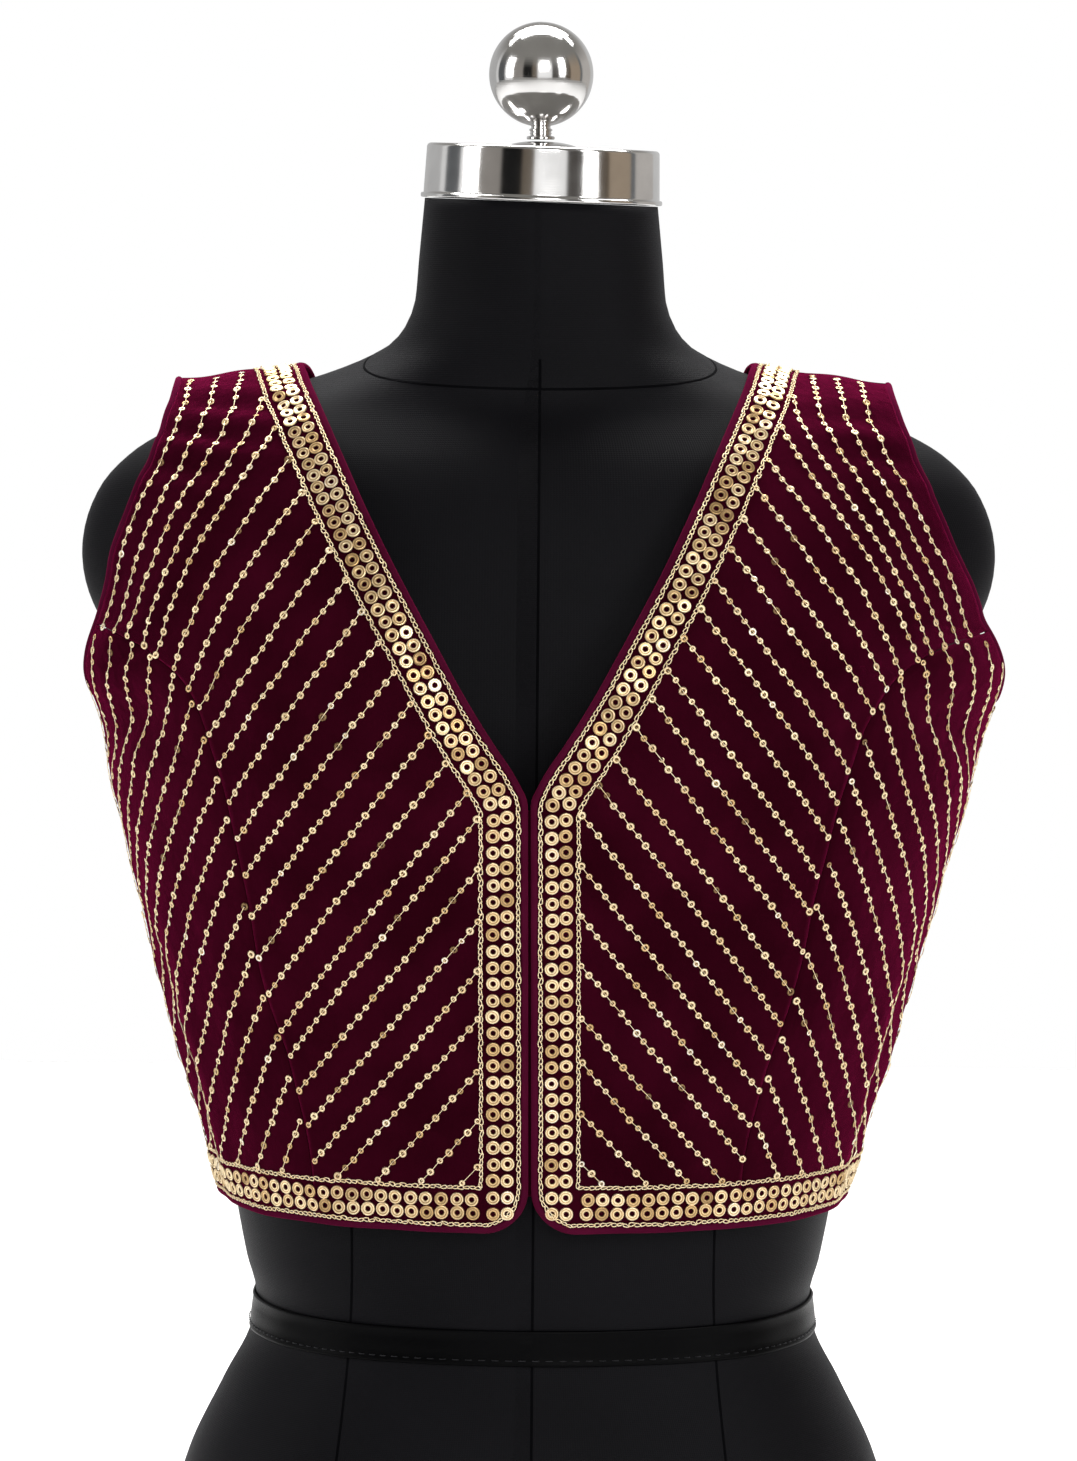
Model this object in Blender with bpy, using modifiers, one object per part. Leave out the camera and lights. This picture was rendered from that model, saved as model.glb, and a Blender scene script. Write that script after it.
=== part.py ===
"""Sleeveless choli blouse, worn by a limbless dress form that stands on its flat hip.

Metres, +Z up. The front faces -Y and the wearer's left is +X. The origin lies on the surface that
the form stands on, at the middle of the whole part's box.

Every cloth panel lies on one garment surface. A place on it is a pair: a turn, the angle round the
body from centre front (0) by the side (90 degrees) to centre back (180 degrees), and a climb, which
is 0 at the hem, 1 at the bust line and 2 on the shoulder ridge.
"""

import math
from typing import NamedTuple

import bmesh
import bpy
import numpy as np
from mathutils import Vector

# Cloth sizes
CLOTH_THICKNESS = 0.0016
SEAM_HALF_GAP = 0.00025
SHOULDER_HALF_GAP = 0.0004
BINDING_RADIUS = 0.0016
BINDING_GAP = 0.0004
OPENING_HALF_GAP = 0.0006
OPENING_SHIFT_LOW = -0.0015
OPENING_SHIFT_HIGH = -0.0045
RIGHT_SEAM_OUT = 0.0055
UNDERLAP_HALF_WIDTH = 0.009
UNDERLAP_DEPTH = 0.0030
UNDERLAP_THICKNESS = 0.0012
UNDERLAP_LOW = 0.306
UNDERLAP_HIGH = 0.474

# Heights above the standing surface
HEM_HEIGHT = 0.290
BUST_HEIGHT = 0.500
NECK_POINT_HEIGHT = 0.482
ARMPIT_HEIGHT = 0.514
SHOULDER_HEIGHT = 0.660
BACK_NECK_HEIGHT = 0.545
SHOULDER_NECK_OUT = 0.100
SHOULDER_TIP_OUT = 0.1590
SHOULDER_FALL = 0.130

# Shape of every horizontal section
SQUARING = 0.025
BUST_OUT = 0.088
FRONT_FULLNESS = 0.11
BACK_FULLNESS = 0.42

# Dress form sizes
NECK_TOP_HEIGHT = 0.7315
NECK_TILT = math.radians(1.8)
NECK_TILT_START = 0.700
CAP_RADIUS = 0.0520
CAP_LIP_RADIUS = 0.0534
CAP_LIP_HEIGHT = 0.0022
CAP_HEIGHT = 0.0240
CAP_DOME = 0.0024
CAP_DOME_RADIUS = 0.0150
CAP_GAP = 0.0004
STEM_RADIUS = 0.0046
STEM_COLLAR_RADIUS = 0.0062
STEM_LENGTH = 0.0050
FINIAL_OUT = -0.0005
BALL_RADIUS = 0.0230
RIBBON_LOW = 0.2295
RIBBON_HIGH = 0.2450
RIBBON_GAP = 0.0004
RIBBON_THICKNESS = 0.0010
PAD_CENTRE_HEIGHT = 0.577
PAD_CENTRE_BACK = 0.004
PAD_HALF_DEPTH = 0.052
PAD_HALF_HEIGHT = 0.056
PAD_BULGE = 0.0295
PAD_RIM = 0.0025
PAD_GAP = 0.0010

# Mesh steps
FORM_SEGMENTS = 32
LATHE_STEPS = 28
FRONT_COLUMNS = 9
SIDE_COLUMNS = 7
BACK_COLUMNS = 12
CORNER_ROWS = 3
OPENING_ROWS = 12
SEAM_ROWS = 19
ARMHOLE_ROWS = 9
BACK_ARMHOLE_ROWS = 10
BACK_NECK_ROWS = 11
CURVE_SAMPLES = 10
CORNER_REACH = 4


class FormRing(NamedTuple):
    """A horizontal section of the dress form."""

    height: float
    half_width: float
    front: float
    back: float


class ClothRing(NamedTuple):
    """A horizontal section of the garment's outside. Sway is how far its sides stand to the left."""

    height: float
    half_width: float
    front: float
    back: float
    sway: float


class EdgePoint(NamedTuple):
    """A point of a garment edge: its height, and how far out it lies from the centre plane."""

    height: float
    out: float


class Fold(NamedTuple):
    """A soft ridge (positive depth) or trough (negative). Turns are in degrees."""

    turn: float
    height: float
    half_turn: float
    half_height: float
    depth: float
    lean: float


FORM_RINGS = (
    FormRing(0.0000, 0.1660, 0.0940, 0.1220),
    FormRing(0.0200, 0.1720, 0.0980, 0.1270),
    FormRing(0.0600, 0.1745, 0.1020, 0.1300),
    FormRing(0.1100, 0.1695, 0.1040, 0.1260),
    FormRing(0.1400, 0.1630, 0.1040, 0.1190),
    FormRing(0.1720, 0.1538, 0.1030, 0.1080),
    FormRing(0.2050, 0.1380, 0.1000, 0.0940),
    FormRing(0.2295, 0.1262, 0.0975, 0.0850),
    FormRing(0.2450, 0.1245, 0.0965, 0.0825),
    FormRing(0.2610, 0.1285, 0.0970, 0.0825),
    FormRing(0.2920, 0.1345, 0.0990, 0.0835),
    FormRing(0.3330, 0.1430, 0.1020, 0.0860),
    FormRing(0.3770, 0.1510, 0.1050, 0.0880),
    FormRing(0.4210, 0.1600, 0.1080, 0.0900),
    FormRing(0.4660, 0.1670, 0.1090, 0.0915),
    FormRing(0.5000, 0.1700, 0.1090, 0.0920),
    FormRing(0.5400, 0.1710, 0.1040, 0.0910),
    FormRing(0.5800, 0.1700, 0.0940, 0.0850),
    FormRing(0.6050, 0.1690, 0.0850, 0.0765),
    FormRing(0.6200, 0.1650, 0.0760, 0.0680),
    FormRing(0.6320, 0.1550, 0.0660, 0.0610),
    FormRing(0.6410, 0.1370, 0.0590, 0.0575),
    FormRing(0.6490, 0.1140, 0.0555, 0.0555),
    FormRing(0.6550, 0.0955, 0.0545, 0.0550),
    FormRing(0.6610, 0.0800, 0.0545, 0.0545),
    FormRing(0.6680, 0.0670, 0.0548, 0.0545),
    FormRing(0.6760, 0.0600, 0.0550, 0.0545),
    FormRing(0.6880, 0.0555, 0.0550, 0.0540),
    FormRing(0.7050, 0.0540, 0.0540, 0.0530),
    FormRing(0.7315, 0.0515, 0.0520, 0.0520),
)

CLOTH_RINGS = (
    ClothRing(0.290, 0.1403, 0.1110, 0.0920, 0.0000),
    ClothRing(0.333, 0.1515, 0.1120, 0.0940, 0.0000),
    ClothRing(0.378, 0.1643, 0.1150, 0.0960, 0.0002),
    ClothRing(0.423, 0.1774, 0.1190, 0.0980, 0.0008),
    ClothRing(0.468, 0.1898, 0.1225, 0.1000, 0.0020),
    ClothRing(0.500, 0.1970, 0.1240, 0.1010, 0.0028),
    ClothRing(0.531, 0.2046, 0.1240, 0.1010, 0.0031),
    ClothRing(0.555, 0.2040, 0.1240, 0.1010, 0.0018),
    ClothRing(0.600, 0.2000, 0.1240, 0.1010, -0.0022),
    ClothRing(0.630, 0.1920, 0.1240, 0.1010, -0.0030),
    ClothRing(0.660, 0.1820, 0.1240, 0.1010, -0.0036),
)

# The neck edge of each front, from the point of the V towards the shoulder
FRONT_NECK = (
    EdgePoint(0.482, 0.0006),
    EdgePoint(0.493, 0.0070),
    EdgePoint(0.514, 0.0250),
    EdgePoint(0.545, 0.0455),
    EdgePoint(0.580, 0.0620),
    EdgePoint(0.612, 0.0755),
    EdgePoint(0.636, 0.0865),
    EdgePoint(0.652, 0.0950),
)

# The slanted lower corner of each front
FRONT_CORNER = (
    EdgePoint(0.2900, 0.0165),
    EdgePoint(0.2925, 0.0105),
    EdgePoint(0.2970, 0.0050),
    EdgePoint(0.3040, 0.0012),
    EdgePoint(0.3080, 0.0006),
)

# The neck edge of the back, from centre back towards the shoulder
BACK_NECK = (
    EdgePoint(0.5465, 0.0190),
    EdgePoint(0.5530, 0.0380),
    EdgePoint(0.5680, 0.0570),
    EdgePoint(0.5900, 0.0715),
    EdgePoint(0.6160, 0.0830),
    EdgePoint(0.6400, 0.0920),
)

# The curved seam of each front, from the hem over the bust to the armhole
PRINCESS_SEAM = (
    EdgePoint(0.290, 0.0890),
    EdgePoint(0.318, 0.0910),
    EdgePoint(0.352, 0.0980),
    EdgePoint(0.395, 0.1120),
    EdgePoint(0.434, 0.1200),
    EdgePoint(0.462, 0.1260),
    EdgePoint(0.495, 0.1350),
    EdgePoint(0.515, 0.1430),
    EdgePoint(0.530, 0.1540),
    EdgePoint(0.539, 0.1670),
    EdgePoint(0.544, 0.1810),
    EdgePoint(0.547, 0.1948),
)

# The armhole edge of each front, from the princess seam up towards the shoulder
FRONT_ARMHOLE = (
    EdgePoint(0.547, 0.1948),
    EdgePoint(0.560, 0.1915),
    EdgePoint(0.576, 0.1865),
    EdgePoint(0.594, 0.1795),
    EdgePoint(0.612, 0.1720),
    EdgePoint(0.628, 0.1655),
    EdgePoint(0.642, 0.1608),
)

# The armhole edge of the back, from near the armpit up towards the shoulder
BACK_ARMHOLE = (
    EdgePoint(0.540, 0.1965),
    EdgePoint(0.560, 0.1890),
    EdgePoint(0.582, 0.1800),
    EdgePoint(0.606, 0.1710),
    EdgePoint(0.628, 0.1645),
    EdgePoint(0.642, 0.1608),
)

# The largest folds: the pinch under each arm, and soft flutes above the hem at the sides
FOLDS = (
    Fold(70.0, 0.534, 14.0, 0.014, 0.0030, 0.0000),
    Fold(62.0, 0.508, 16.0, 0.011, -0.0050, -0.0008),
    Fold(66.0, 0.350, 4.0, 0.050, 0.0026, 0.0000),
    Fold(76.0, 0.345, 4.0, 0.055, -0.0022, 0.0000),
    Fold(86.0, 0.365, 4.5, 0.050, 0.0024, 0.0000),
    Fold(112.0, 0.350, 6.0, 0.055, 0.0022, 0.0000),
    Fold(128.0, 0.360, 6.0, 0.050, -0.0020, 0.0000),
)


def hermite(t, span, ends, slopes):
    """The cubic between two values with the given slopes, at share t of the span."""
    start = (1 + 2 * t) * (1 - t) ** 2 * ends[0] + t * (1 - t) ** 2 * span * slopes[0]
    return start + t * t * (3 - 2 * t) * ends[1] + t * t * (t - 1) * span * slopes[1]


def smooth_value(rows, column, height):
    """Reads a table's column at a height, through a cubic that never overshoots the rows."""
    heights = np.array([row.height for row in rows])
    values = np.array([getattr(row, column) for row in rows])
    rises = np.diff(values) / np.diff(heights)
    before, after = rises[:-1], rises[1:]
    same_way = before * after > 0
    total = np.where(same_way, before + after, 1.0)
    inner = np.where(same_way, 2 * before * after / total, 0.0)
    slopes = np.concatenate([[rises[0]], inner, [rises[-1]]])
    height = min(max(height, heights[0]), heights[-1])
    i = min(int(np.searchsorted(heights, height, side="right")), len(heights) - 1) - 1
    span = heights[i + 1] - heights[i]
    t = (height - heights[i]) / span
    return float(hermite(t, span, values[i : i + 2], slopes[i : i + 2]))


def squared(turn):
    """Sine and cosine of a turn, swelled towards a rounded rectangle. Both still reach 1."""
    across = (math.sin(turn) + SQUARING * math.sin(3 * turn)) / (1 - SQUARING)
    ahead = (math.cos(turn) - SQUARING * math.cos(3 * turn)) / (1 - SQUARING)
    return across, ahead


TURNS = np.linspace(0, math.pi / 2, 400)
ACROSS = np.array([squared(turn)[0] for turn in TURNS])


def turn_for(share):
    """The turn, from centre front, at which a section reaches this share of its half width."""
    return math.copysign(float(np.interp(abs(share), ACROSS, TURNS)), share)


def bell(distance, half):
    """A smooth hump that is 1 at no distance."""
    return math.exp(-((distance / half) ** 2))


def form_point(turn, height, lift=0.0):
    """A point of the dress form's skin, or above it by the lift."""
    across, ahead = squared(turn)
    half_width = smooth_value(FORM_RINGS, "half_width", height) + lift
    depth = smooth_value(FORM_RINGS, "front" if ahead > 0 else "back", height) + lift
    x = half_width * across
    y = -depth * ahead
    if ahead > 0:
        y -= 0.017 * ahead * bell(abs(x) - BUST_OUT, 0.040) * bell(height - BUST_HEIGHT, 0.045)
    tilt = max(0.0, height - NECK_TILT_START) / (NECK_TOP_HEIGHT - NECK_TILT_START)
    return Vector((x, y, height - x * math.tan(NECK_TILT) * tilt))


def fold_depth(turn, height):
    """How far the folds push the cloth out at this place."""
    degrees = abs(math.degrees(turn))
    total = 0.0
    for fold in FOLDS:
        along = degrees - fold.turn
        across = height - fold.height - fold.lean * along
        total += fold.depth * bell(along, fold.half_turn) * bell(across, fold.half_height)
    return total


def shoulder_rise(x):
    """How far the shoulder ridge stands above the bust line, this far from the centre plane."""
    return SHOULDER_HEIGHT - BUST_HEIGHT - SHOULDER_FALL * max(abs(x) - SHOULDER_NECK_OUT, -0.02)


def climb_for(height, out):
    """The climb at which the garment surface has this height, this far out."""
    if height <= BUST_HEIGHT:
        return (height - HEM_HEIGHT) / (BUST_HEIGHT - HEM_HEIGHT)
    share = min((height - BUST_HEIGHT) / shoulder_rise(out), 1.0)
    return 1 + math.asin(share) / (math.pi / 2)


def ring_of(climb):
    """Half width, front depth, back depth and sway of the garment surface at a climb."""
    if climb <= 1:
        height = HEM_HEIGHT + (BUST_HEIGHT - HEM_HEIGHT) * climb
        front_share, back_share = 1.0, 1.0
    else:
        arc = (climb - 1) * math.pi / 2
        height = BUST_HEIGHT + (SHOULDER_HEIGHT - BUST_HEIGHT) * math.sin(arc)
        front_share = max(math.cos(arc), 0.0) * (1 + FRONT_FULLNESS * math.sin(arc) ** 4)
        back_share = max(math.cos(arc), 0.0) * (1 + BACK_FULLNESS * math.sin(arc) ** 4)
    return (
        smooth_value(CLOTH_RINGS, "half_width", height),
        smooth_value(CLOTH_RINGS, "front", height) * front_share,
        smooth_value(CLOTH_RINGS, "back", height) * back_share,
        smooth_value(CLOTH_RINGS, "sway", height),
    )


def place_for(point, back=False):
    """The turn and climb of an edge point given by its height and how far out it is."""
    climb = climb_for(point.height, point.out)
    turn = turn_for(point.out / ring_of(climb)[0])
    return np.array([math.pi - turn if back else turn, climb])


def cloth_outside(turn, climb):
    """A point of the garment's outer surface."""
    across, ahead = squared(turn)
    half_width, front, back, sway = ring_of(climb)
    x = half_width * across
    y = -(front if ahead > 0 else back) * ahead
    if climb <= 1:
        z = HEM_HEIGHT + (BUST_HEIGHT - HEM_HEIGHT) * climb
    else:
        z = BUST_HEIGHT + shoulder_rise(x) * math.sin((climb - 1) * math.pi / 2)
    if ahead > 0:
        y -= 0.014 * ahead * bell(abs(x) - BUST_OUT, 0.052) * bell(z - BUST_HEIGHT + 0.004, 0.055)
    push = fold_depth(turn, z)
    x += push * math.sin(turn) + sway * across * across
    y -= push * math.cos(turn)
    return Vector((x, y, z))


def cloth_slopes(turn, climb, step=1e-4):
    """How the outer surface moves with the turn and with the climb."""
    low, high = min(climb, 2 - step) - step, min(climb + step, 2.0)
    by_turn = (cloth_outside(turn + step, climb) - cloth_outside(turn - step, climb)) / (2 * step)
    by_climb = (cloth_outside(turn, high) - cloth_outside(turn, low)) / (high - low)
    return by_turn, by_climb


def cloth_point(place, lift=0.0):
    """A point above (positive lift) or below the garment's outer surface."""
    by_turn, by_climb = cloth_slopes(*place)
    return cloth_outside(*place) + by_turn.cross(by_climb).normalized() * lift


def step_for(place, move):
    """The change of turn and climb that moves a place by this vector."""
    basis = np.array(cloth_slopes(*place)).T
    return np.linalg.lstsq(basis, np.array(move), rcond=None)[0]


def walked(places):
    """Distance walked to each place of a curve on the garment surface."""
    points = [cloth_outside(*place) for place in places]
    steps = [(b - a).length for a, b in zip(points, points[1:])]
    return np.concatenate([[0.0], np.cumsum(steps)])


def smooth_curve(places):
    """A smooth curve through a few places, with CURVE_SAMPLES steps between each two of them."""
    places = np.array(places)
    at = walked(places)
    slopes = np.gradient(places, at, axis=0)
    out = [places[0]]
    for i in range(len(places) - 1):
        for k in range(1, CURVE_SAMPLES + 1):
            span = at[i + 1] - at[i]
            out.append(hermite(k / CURVE_SAMPLES, span, places[i : i + 2], slopes[i : i + 2]))
    return np.array(out)


def spaced(places, steps):
    """The same curve, as evenly spaced places."""
    along = walked(places)
    at = np.linspace(0, along[-1], steps + 1)
    return np.stack([np.interp(at, along, places[:, k]) for k in range(2)], axis=1)


def line(start, end, steps):
    """Evenly spaced places from one place to another."""
    return np.linspace(np.array(start), np.array(end), steps + 1)


def inset(places, distance):
    """A closed curve moved sideways on the garment surface, to its left when positive."""
    points = [cloth_outside(*place) for place in places]
    moved = []
    for i, place in enumerate(places):
        before = (points[i] - points[i - 1]).normalized()
        after = (points[(i + 1) % len(points)] - points[i]).normalized()
        mitre = max(math.sqrt((1 + before.dot(after)) / 2), 0.5)
        by_turn, by_climb = cloth_slopes(*place)
        normal = by_turn.cross(by_climb).normalized()
        move = normal.cross((before + after).normalized()) * (distance / mitre)
        moved.append(place + step_for(place, move))
    moved = np.array(moved)
    moved[:, 1] = np.minimum(moved[:, 1], 2.0)
    return moved


def patch(left, right, bottom, top):
    """Places that fill a patch in between four border curves with shared corners."""
    v = np.linspace(0, 1, len(left))[:, None, None]
    u = np.linspace(0, 1, len(bottom))[None, :, None]
    sides = (1 - u) * left[:, None] + u * right[:, None]
    ends = (1 - v) * bottom[None] + v * top[None]
    low = (1 - u) * bottom[0] + u * bottom[-1]
    high = (1 - u) * top[0] + u * top[-1]
    return sides + ends - (1 - v) * low - v * high


def borders(rows, columns):
    """The cells along the left, right, bottom and top of a grid, and the step inwards from each."""
    return (
        ([(j, 0) for j in range(rows)], (0, 1)),
        ([(j, columns - 1) for j in range(rows)], (0, -1)),
        ([(0, i) for i in range(columns)], (1, 0)),
        ([(rows - 1, i) for i in range(columns)], (-1, 0)),
    )


def border_pulls(grid, points, cells, inward, distance):
    """For each cell of a border, the ways it is pulled in and how far, one for each step it is on."""
    far = np.broadcast_to(distance, len(cells) - 1)
    pulls = {cell: [] for cell in cells}
    for k, (start, end) in enumerate(zip(cells, cells[1:])):
        tangent = points[end] - points[start]
        for cell in (start, end):
            by_turn, by_climb = cloth_slopes(*grid[cell])
            way = by_turn.cross(by_climb).cross(tangent).normalized()
            inside = points[(cell[0] + inward[0], cell[1] + inward[1])] - points[cell]
            pulls[cell].append((way if way.dot(inside) > 0 else -way, far[k]))
    return pulls


def answer(pulls):
    """The shortest move that satisfies these pulls."""
    ways = np.array([tuple(way) for way, _ in pulls])
    return np.linalg.lstsq(ways, np.array([far for _, far in pulls]), rcond=1e-3)[0]


def drawn_in(grid, *distances):
    """Moves a patch's left, right, bottom and top borders in, each step of a border by its own."""
    rows, columns = grid.shape[:2]
    points = {(j, i): cloth_outside(*grid[j, i]) for j in range(rows) for i in range(columns)}
    sides = borders(rows, columns)
    pulls = [
        border_pulls(grid, points, cells, inward, distance)
        for (cells, inward), distance in zip(sides, distances)
    ]
    steps = []
    for (cells, _), own in zip(sides, pulls):
        moves = [answer(own[cell]) for cell in cells]
        for run in (cells, cells[::-1]):
            corner = answer([pull for side in pulls for pull in side.get(run[0], [])])
            first = cells.index(run[0])
            slide = (corner - moves[first]).dot((points[run[1]] - points[run[0]]).normalized())
            moves[first] = corner
            for k in range(1, min(CORNER_REACH, len(run) - 1)):
                tangent = np.array((points[run[k + 1]] - points[run[k - 1]]).normalized())
                moves[cells.index(run[k])] += tangent * slide * (1 - k / CORNER_REACH)
        steps.append(np.array([step_for(grid[cell], move) for cell, move in zip(cells, moves)]))
    moved = grid + patch(*steps)
    moved[..., 1] = np.minimum(moved[..., 1], 2.0)
    return moved


def opening_shift(height, side):
    """How far this side's front edge stands out, since the opening isn't quite at the centre."""
    share = (height - HEM_HEIGHT) / (SHOULDER_HEIGHT - HEM_HEIGHT)
    return side * (OPENING_SHIFT_LOW + (OPENING_SHIFT_HIGH - OPENING_SHIFT_LOW) * share)


def shifted(point, side):
    return EdgePoint(point.height, point.out + opening_shift(point.height, side))


def shoulder_place(out, back=False):
    """The place on the shoulder ridge this far out."""
    turn = turn_for(out / ring_of(2.0)[0])
    return np.array([math.pi - turn if back else turn, 2.0])


def neck_place(side, back=False):
    """Where the neck edge crosses this side's shoulder seam."""
    return shoulder_place(SHOULDER_NECK_OUT + opening_shift(SHOULDER_HEIGHT, side), back)


def front_edge(side):
    """A front's free edge, from its hem corner up the opening and the V to the shoulder."""
    corner = smooth_curve([place_for(shifted(point, side)) for point in FRONT_CORNER])
    low = FRONT_CORNER[-1].height
    opening = [
        place_for(shifted(EdgePoint(height, OPENING_HALF_GAP), side))
        for height in np.linspace(low, NECK_POINT_HEIGHT, OPENING_ROWS + 1)
    ]
    neck = [place_for(shifted(point, side)) for point in FRONT_NECK] + [neck_place(side)]
    rows = SEAM_ROWS + ARMHOLE_ROWS - CORNER_ROWS - OPENING_ROWS
    neck = spaced(smooth_curve(neck), rows)
    return np.concatenate([spaced(corner, CORNER_ROWS), opening[1:], neck[1:]])


def armhole_edge():
    """The armhole edge in three runs: up to the princess seam, under the arm, and up the back."""
    front = [place_for(point) for point in reversed(FRONT_ARMHOLE)]
    armpit = np.array([math.pi / 2, climb_for(ARMPIT_HEIGHT, 0.2)])
    back = [place_for(point, back=True) for point in BACK_ARMHOLE]
    tip = shoulder_place(SHOULDER_TIP_OUT)
    back_tip = shoulder_place(SHOULDER_TIP_OUT, back=True)
    curve = smooth_curve([tip, *front, armpit, *back, back_tip])
    princess = len(front) * CURVE_SAMPLES
    side = princess + CURVE_SAMPLES
    return (
        spaced(curve[: princess + 1], ARMHOLE_ROWS)[::-1],
        spaced(curve[princess : side + 1], SIDE_COLUMNS),
        spaced(curve[side:], BACK_ARMHOLE_ROWS),
    )


def princess_seam(side):
    """This side's princess seam. The right one stands a little further out below the armhole."""
    armhole = PRINCESS_SEAM[-1].out
    points = []
    for point in PRINCESS_SEAM:
        extra = RIGHT_SEAM_OUT * min(1.0, (armhole - point.out) / 0.03) if side < 0 else 0.0
        points.append(EdgePoint(point.height, point.out + extra))
    return spaced(smooth_curve([place_for(point) for point in points]), SEAM_ROWS)


def side_seam():
    top = climb_for(ARMPIT_HEIGHT, 0.2)
    return line((math.pi / 2, 0.0), (math.pi / 2, top), SEAM_ROWS)


def front_patch(side):
    """One centre front, from the opening to the princess seam and the armhole above it."""
    inner = front_edge(side)
    seam = princess_seam(side)
    outer = np.concatenate([seam, armhole_edge()[0][1:]])
    bottom = line(inner[0], outer[0], FRONT_COLUMNS)
    top = line(inner[-1], outer[-1], FRONT_COLUMNS)
    return patch(inner, outer, bottom, top)


def side_patch(side):
    """One side front, from the princess seam to the side seam."""
    inner, outer = princess_seam(side), side_seam()
    bottom = line(inner[0], outer[0], SIDE_COLUMNS)
    return patch(inner, outer, bottom, armhole_edge()[1])


def back_patch(side):
    """Half of the back, from the side seam to centre back, and up to the shoulder seam."""
    outer = np.concatenate([side_seam(), armhole_edge()[2][1:]])
    neck_low = np.array([math.pi, climb_for(BACK_NECK_HEIGHT, 0.0)])
    scale = 1 + opening_shift(SHOULDER_HEIGHT, side) / SHOULDER_NECK_OUT
    neck = [place_for(EdgePoint(p.height, p.out * scale), back=True) for p in BACK_NECK]
    mirrored = np.array([2 * math.pi - neck[0][0], neck[0][1]])
    curve = smooth_curve([mirrored, neck_low, *neck, neck_place(side, back=True)])
    neck = spaced(curve[CURVE_SAMPLES:], BACK_NECK_ROWS)
    rows = SEAM_ROWS + BACK_ARMHOLE_ROWS - BACK_NECK_ROWS
    inner = np.concatenate([line((math.pi, 0.0), neck_low, rows), neck[1:]])
    bottom = line(outer[0], inner[0], BACK_COLUMNS)
    top = line(outer[-1], inner[-1], BACK_COLUMNS)
    return patch(outer, inner, bottom, top)


def sided(places, side):
    """The places on this side of the body: +1 is the wearer's left."""
    return places * np.array([side, 1.0])


def edge_loop():
    """The garment's whole outer edge: down the left front, round the hem, up the right, and neck."""
    fronts = {side: front_edge(side) for side in (1, -1)}
    seams = {side: princess_seam(side)[0] for side in (1, -1)}
    side_bottom = {side: line(seams[side], side_seam()[0], SIDE_COLUMNS) for side in (1, -1)}
    back_bottom = line(side_seam()[0], (math.pi, 0.0), BACK_COLUMNS)
    necks = {side: back_patch(side)[-BACK_NECK_ROWS - 1 :, -1] for side in (1, -1)}
    front_bottom = {side: line(fronts[side][0], seams[side], FRONT_COLUMNS) for side in (1, -1)}
    runs = [
        fronts[1][::-1],
        front_bottom[1],
        side_bottom[1],
        back_bottom,
        sided(back_bottom, -1)[::-1],
        sided(side_bottom[-1], -1)[::-1],
        sided(front_bottom[-1], -1)[::-1],
        sided(fronts[-1], -1),
        sided(necks[-1], -1)[::-1],
        necks[1],
    ]
    return np.concatenate([run[:-1] for run in runs])


def armhole_loop(side):
    """One whole armhole edge, from the shoulder down the front and up the back."""
    front, under, back = armhole_edge()
    return sided(np.concatenate([front[::-1][:-1], under[:-1], back[:-1]]), side)


def cleared():
    """Removes what the scene starts with and makes the part's own collection."""
    for obj in list(bpy.data.objects):
        bpy.data.objects.remove(obj)
    collection = bpy.data.collections.new("choli_blouse")
    bpy.context.scene.collection.children.link(collection)
    return collection


def make_material(name, colour, roughness, metallic=0.0):
    material = bpy.data.materials.new(name)
    material.use_nodes = True
    shader = material.node_tree.nodes["Principled BSDF"]
    shader.inputs["Base Color"].default_value = (*colour, 1.0)
    shader.inputs["Roughness"].default_value = roughness
    shader.inputs["Metallic"].default_value = metallic
    return material


def place_object(name, data, material, collection):
    data.materials.append(material)
    obj = bpy.data.objects.new(name, data)
    collection.objects.link(obj)
    return obj


def mesh_object(name, points, faces, material, collection):
    """An object from points and faces. Points that coincide are joined."""
    shape = bmesh.new()
    corners = [shape.verts.new(point) for point in points]
    for face in faces:
        shape.faces.new([corners[index] for index in face])
    bmesh.ops.remove_doubles(shape, verts=shape.verts, dist=1e-5)
    mesh = bpy.data.meshes.new(name)
    shape.to_mesh(mesh)
    shape.free()
    return place_object(name, mesh, material, collection)


def grid_faces(rows, columns, start=0, flipped=False):
    """Quads over a grid of points that is stored row by row."""
    faces = []
    for j in range(rows - 1):
        for i in range(columns - 1):
            first = start + j * columns + i
            face = (first, first + 1, first + columns + 1, first + columns)
            faces.append(face[::-1] if flipped else face)
    return faces


def add_thickness(obj, thickness, offset):
    solidify = obj.modifiers.new("Thickness", "SOLIDIFY")
    solidify.thickness = thickness
    solidify.offset = offset
    solidify.use_even_offset = True


def cloth_panel(name, grids, material, collection, lift=0.0, thickness=CLOTH_THICKNESS):
    """A cut cloth panel over one or more patches, each with the side of the body it is on."""
    points, faces = [], []
    lift -= thickness / 2
    for grid, side in grids:
        rows, columns = grid.shape[:2]
        faces += grid_faces(rows, columns, len(points), flipped=side < 0)
        points += [cloth_point(sided(place, side), lift) for row in grid for place in row]
    obj = mesh_object(name, points, faces, material, collection)
    add_thickness(obj, thickness, 0.0)
    return obj


def binding(name, loop, distance, material, collection):
    """A round piping along a closed edge, centred in the cloth's thickness."""
    curve = bpy.data.curves.new(name, "CURVE")
    curve.dimensions = "3D"
    curve.bevel_depth = BINDING_RADIUS
    curve.bevel_resolution = 1
    curve.use_fill_caps = True
    spline = curve.splines.new("POLY")
    places = inset(loop, distance)
    spline.points.add(len(places) - 1)
    for point, place in zip(spline.points, places):
        point.co = (*cloth_point(place, -CLOTH_THICKNESS / 2), 1.0)
    spline.use_cyclic_u = True
    return place_object(name, curve, material, collection)


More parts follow.
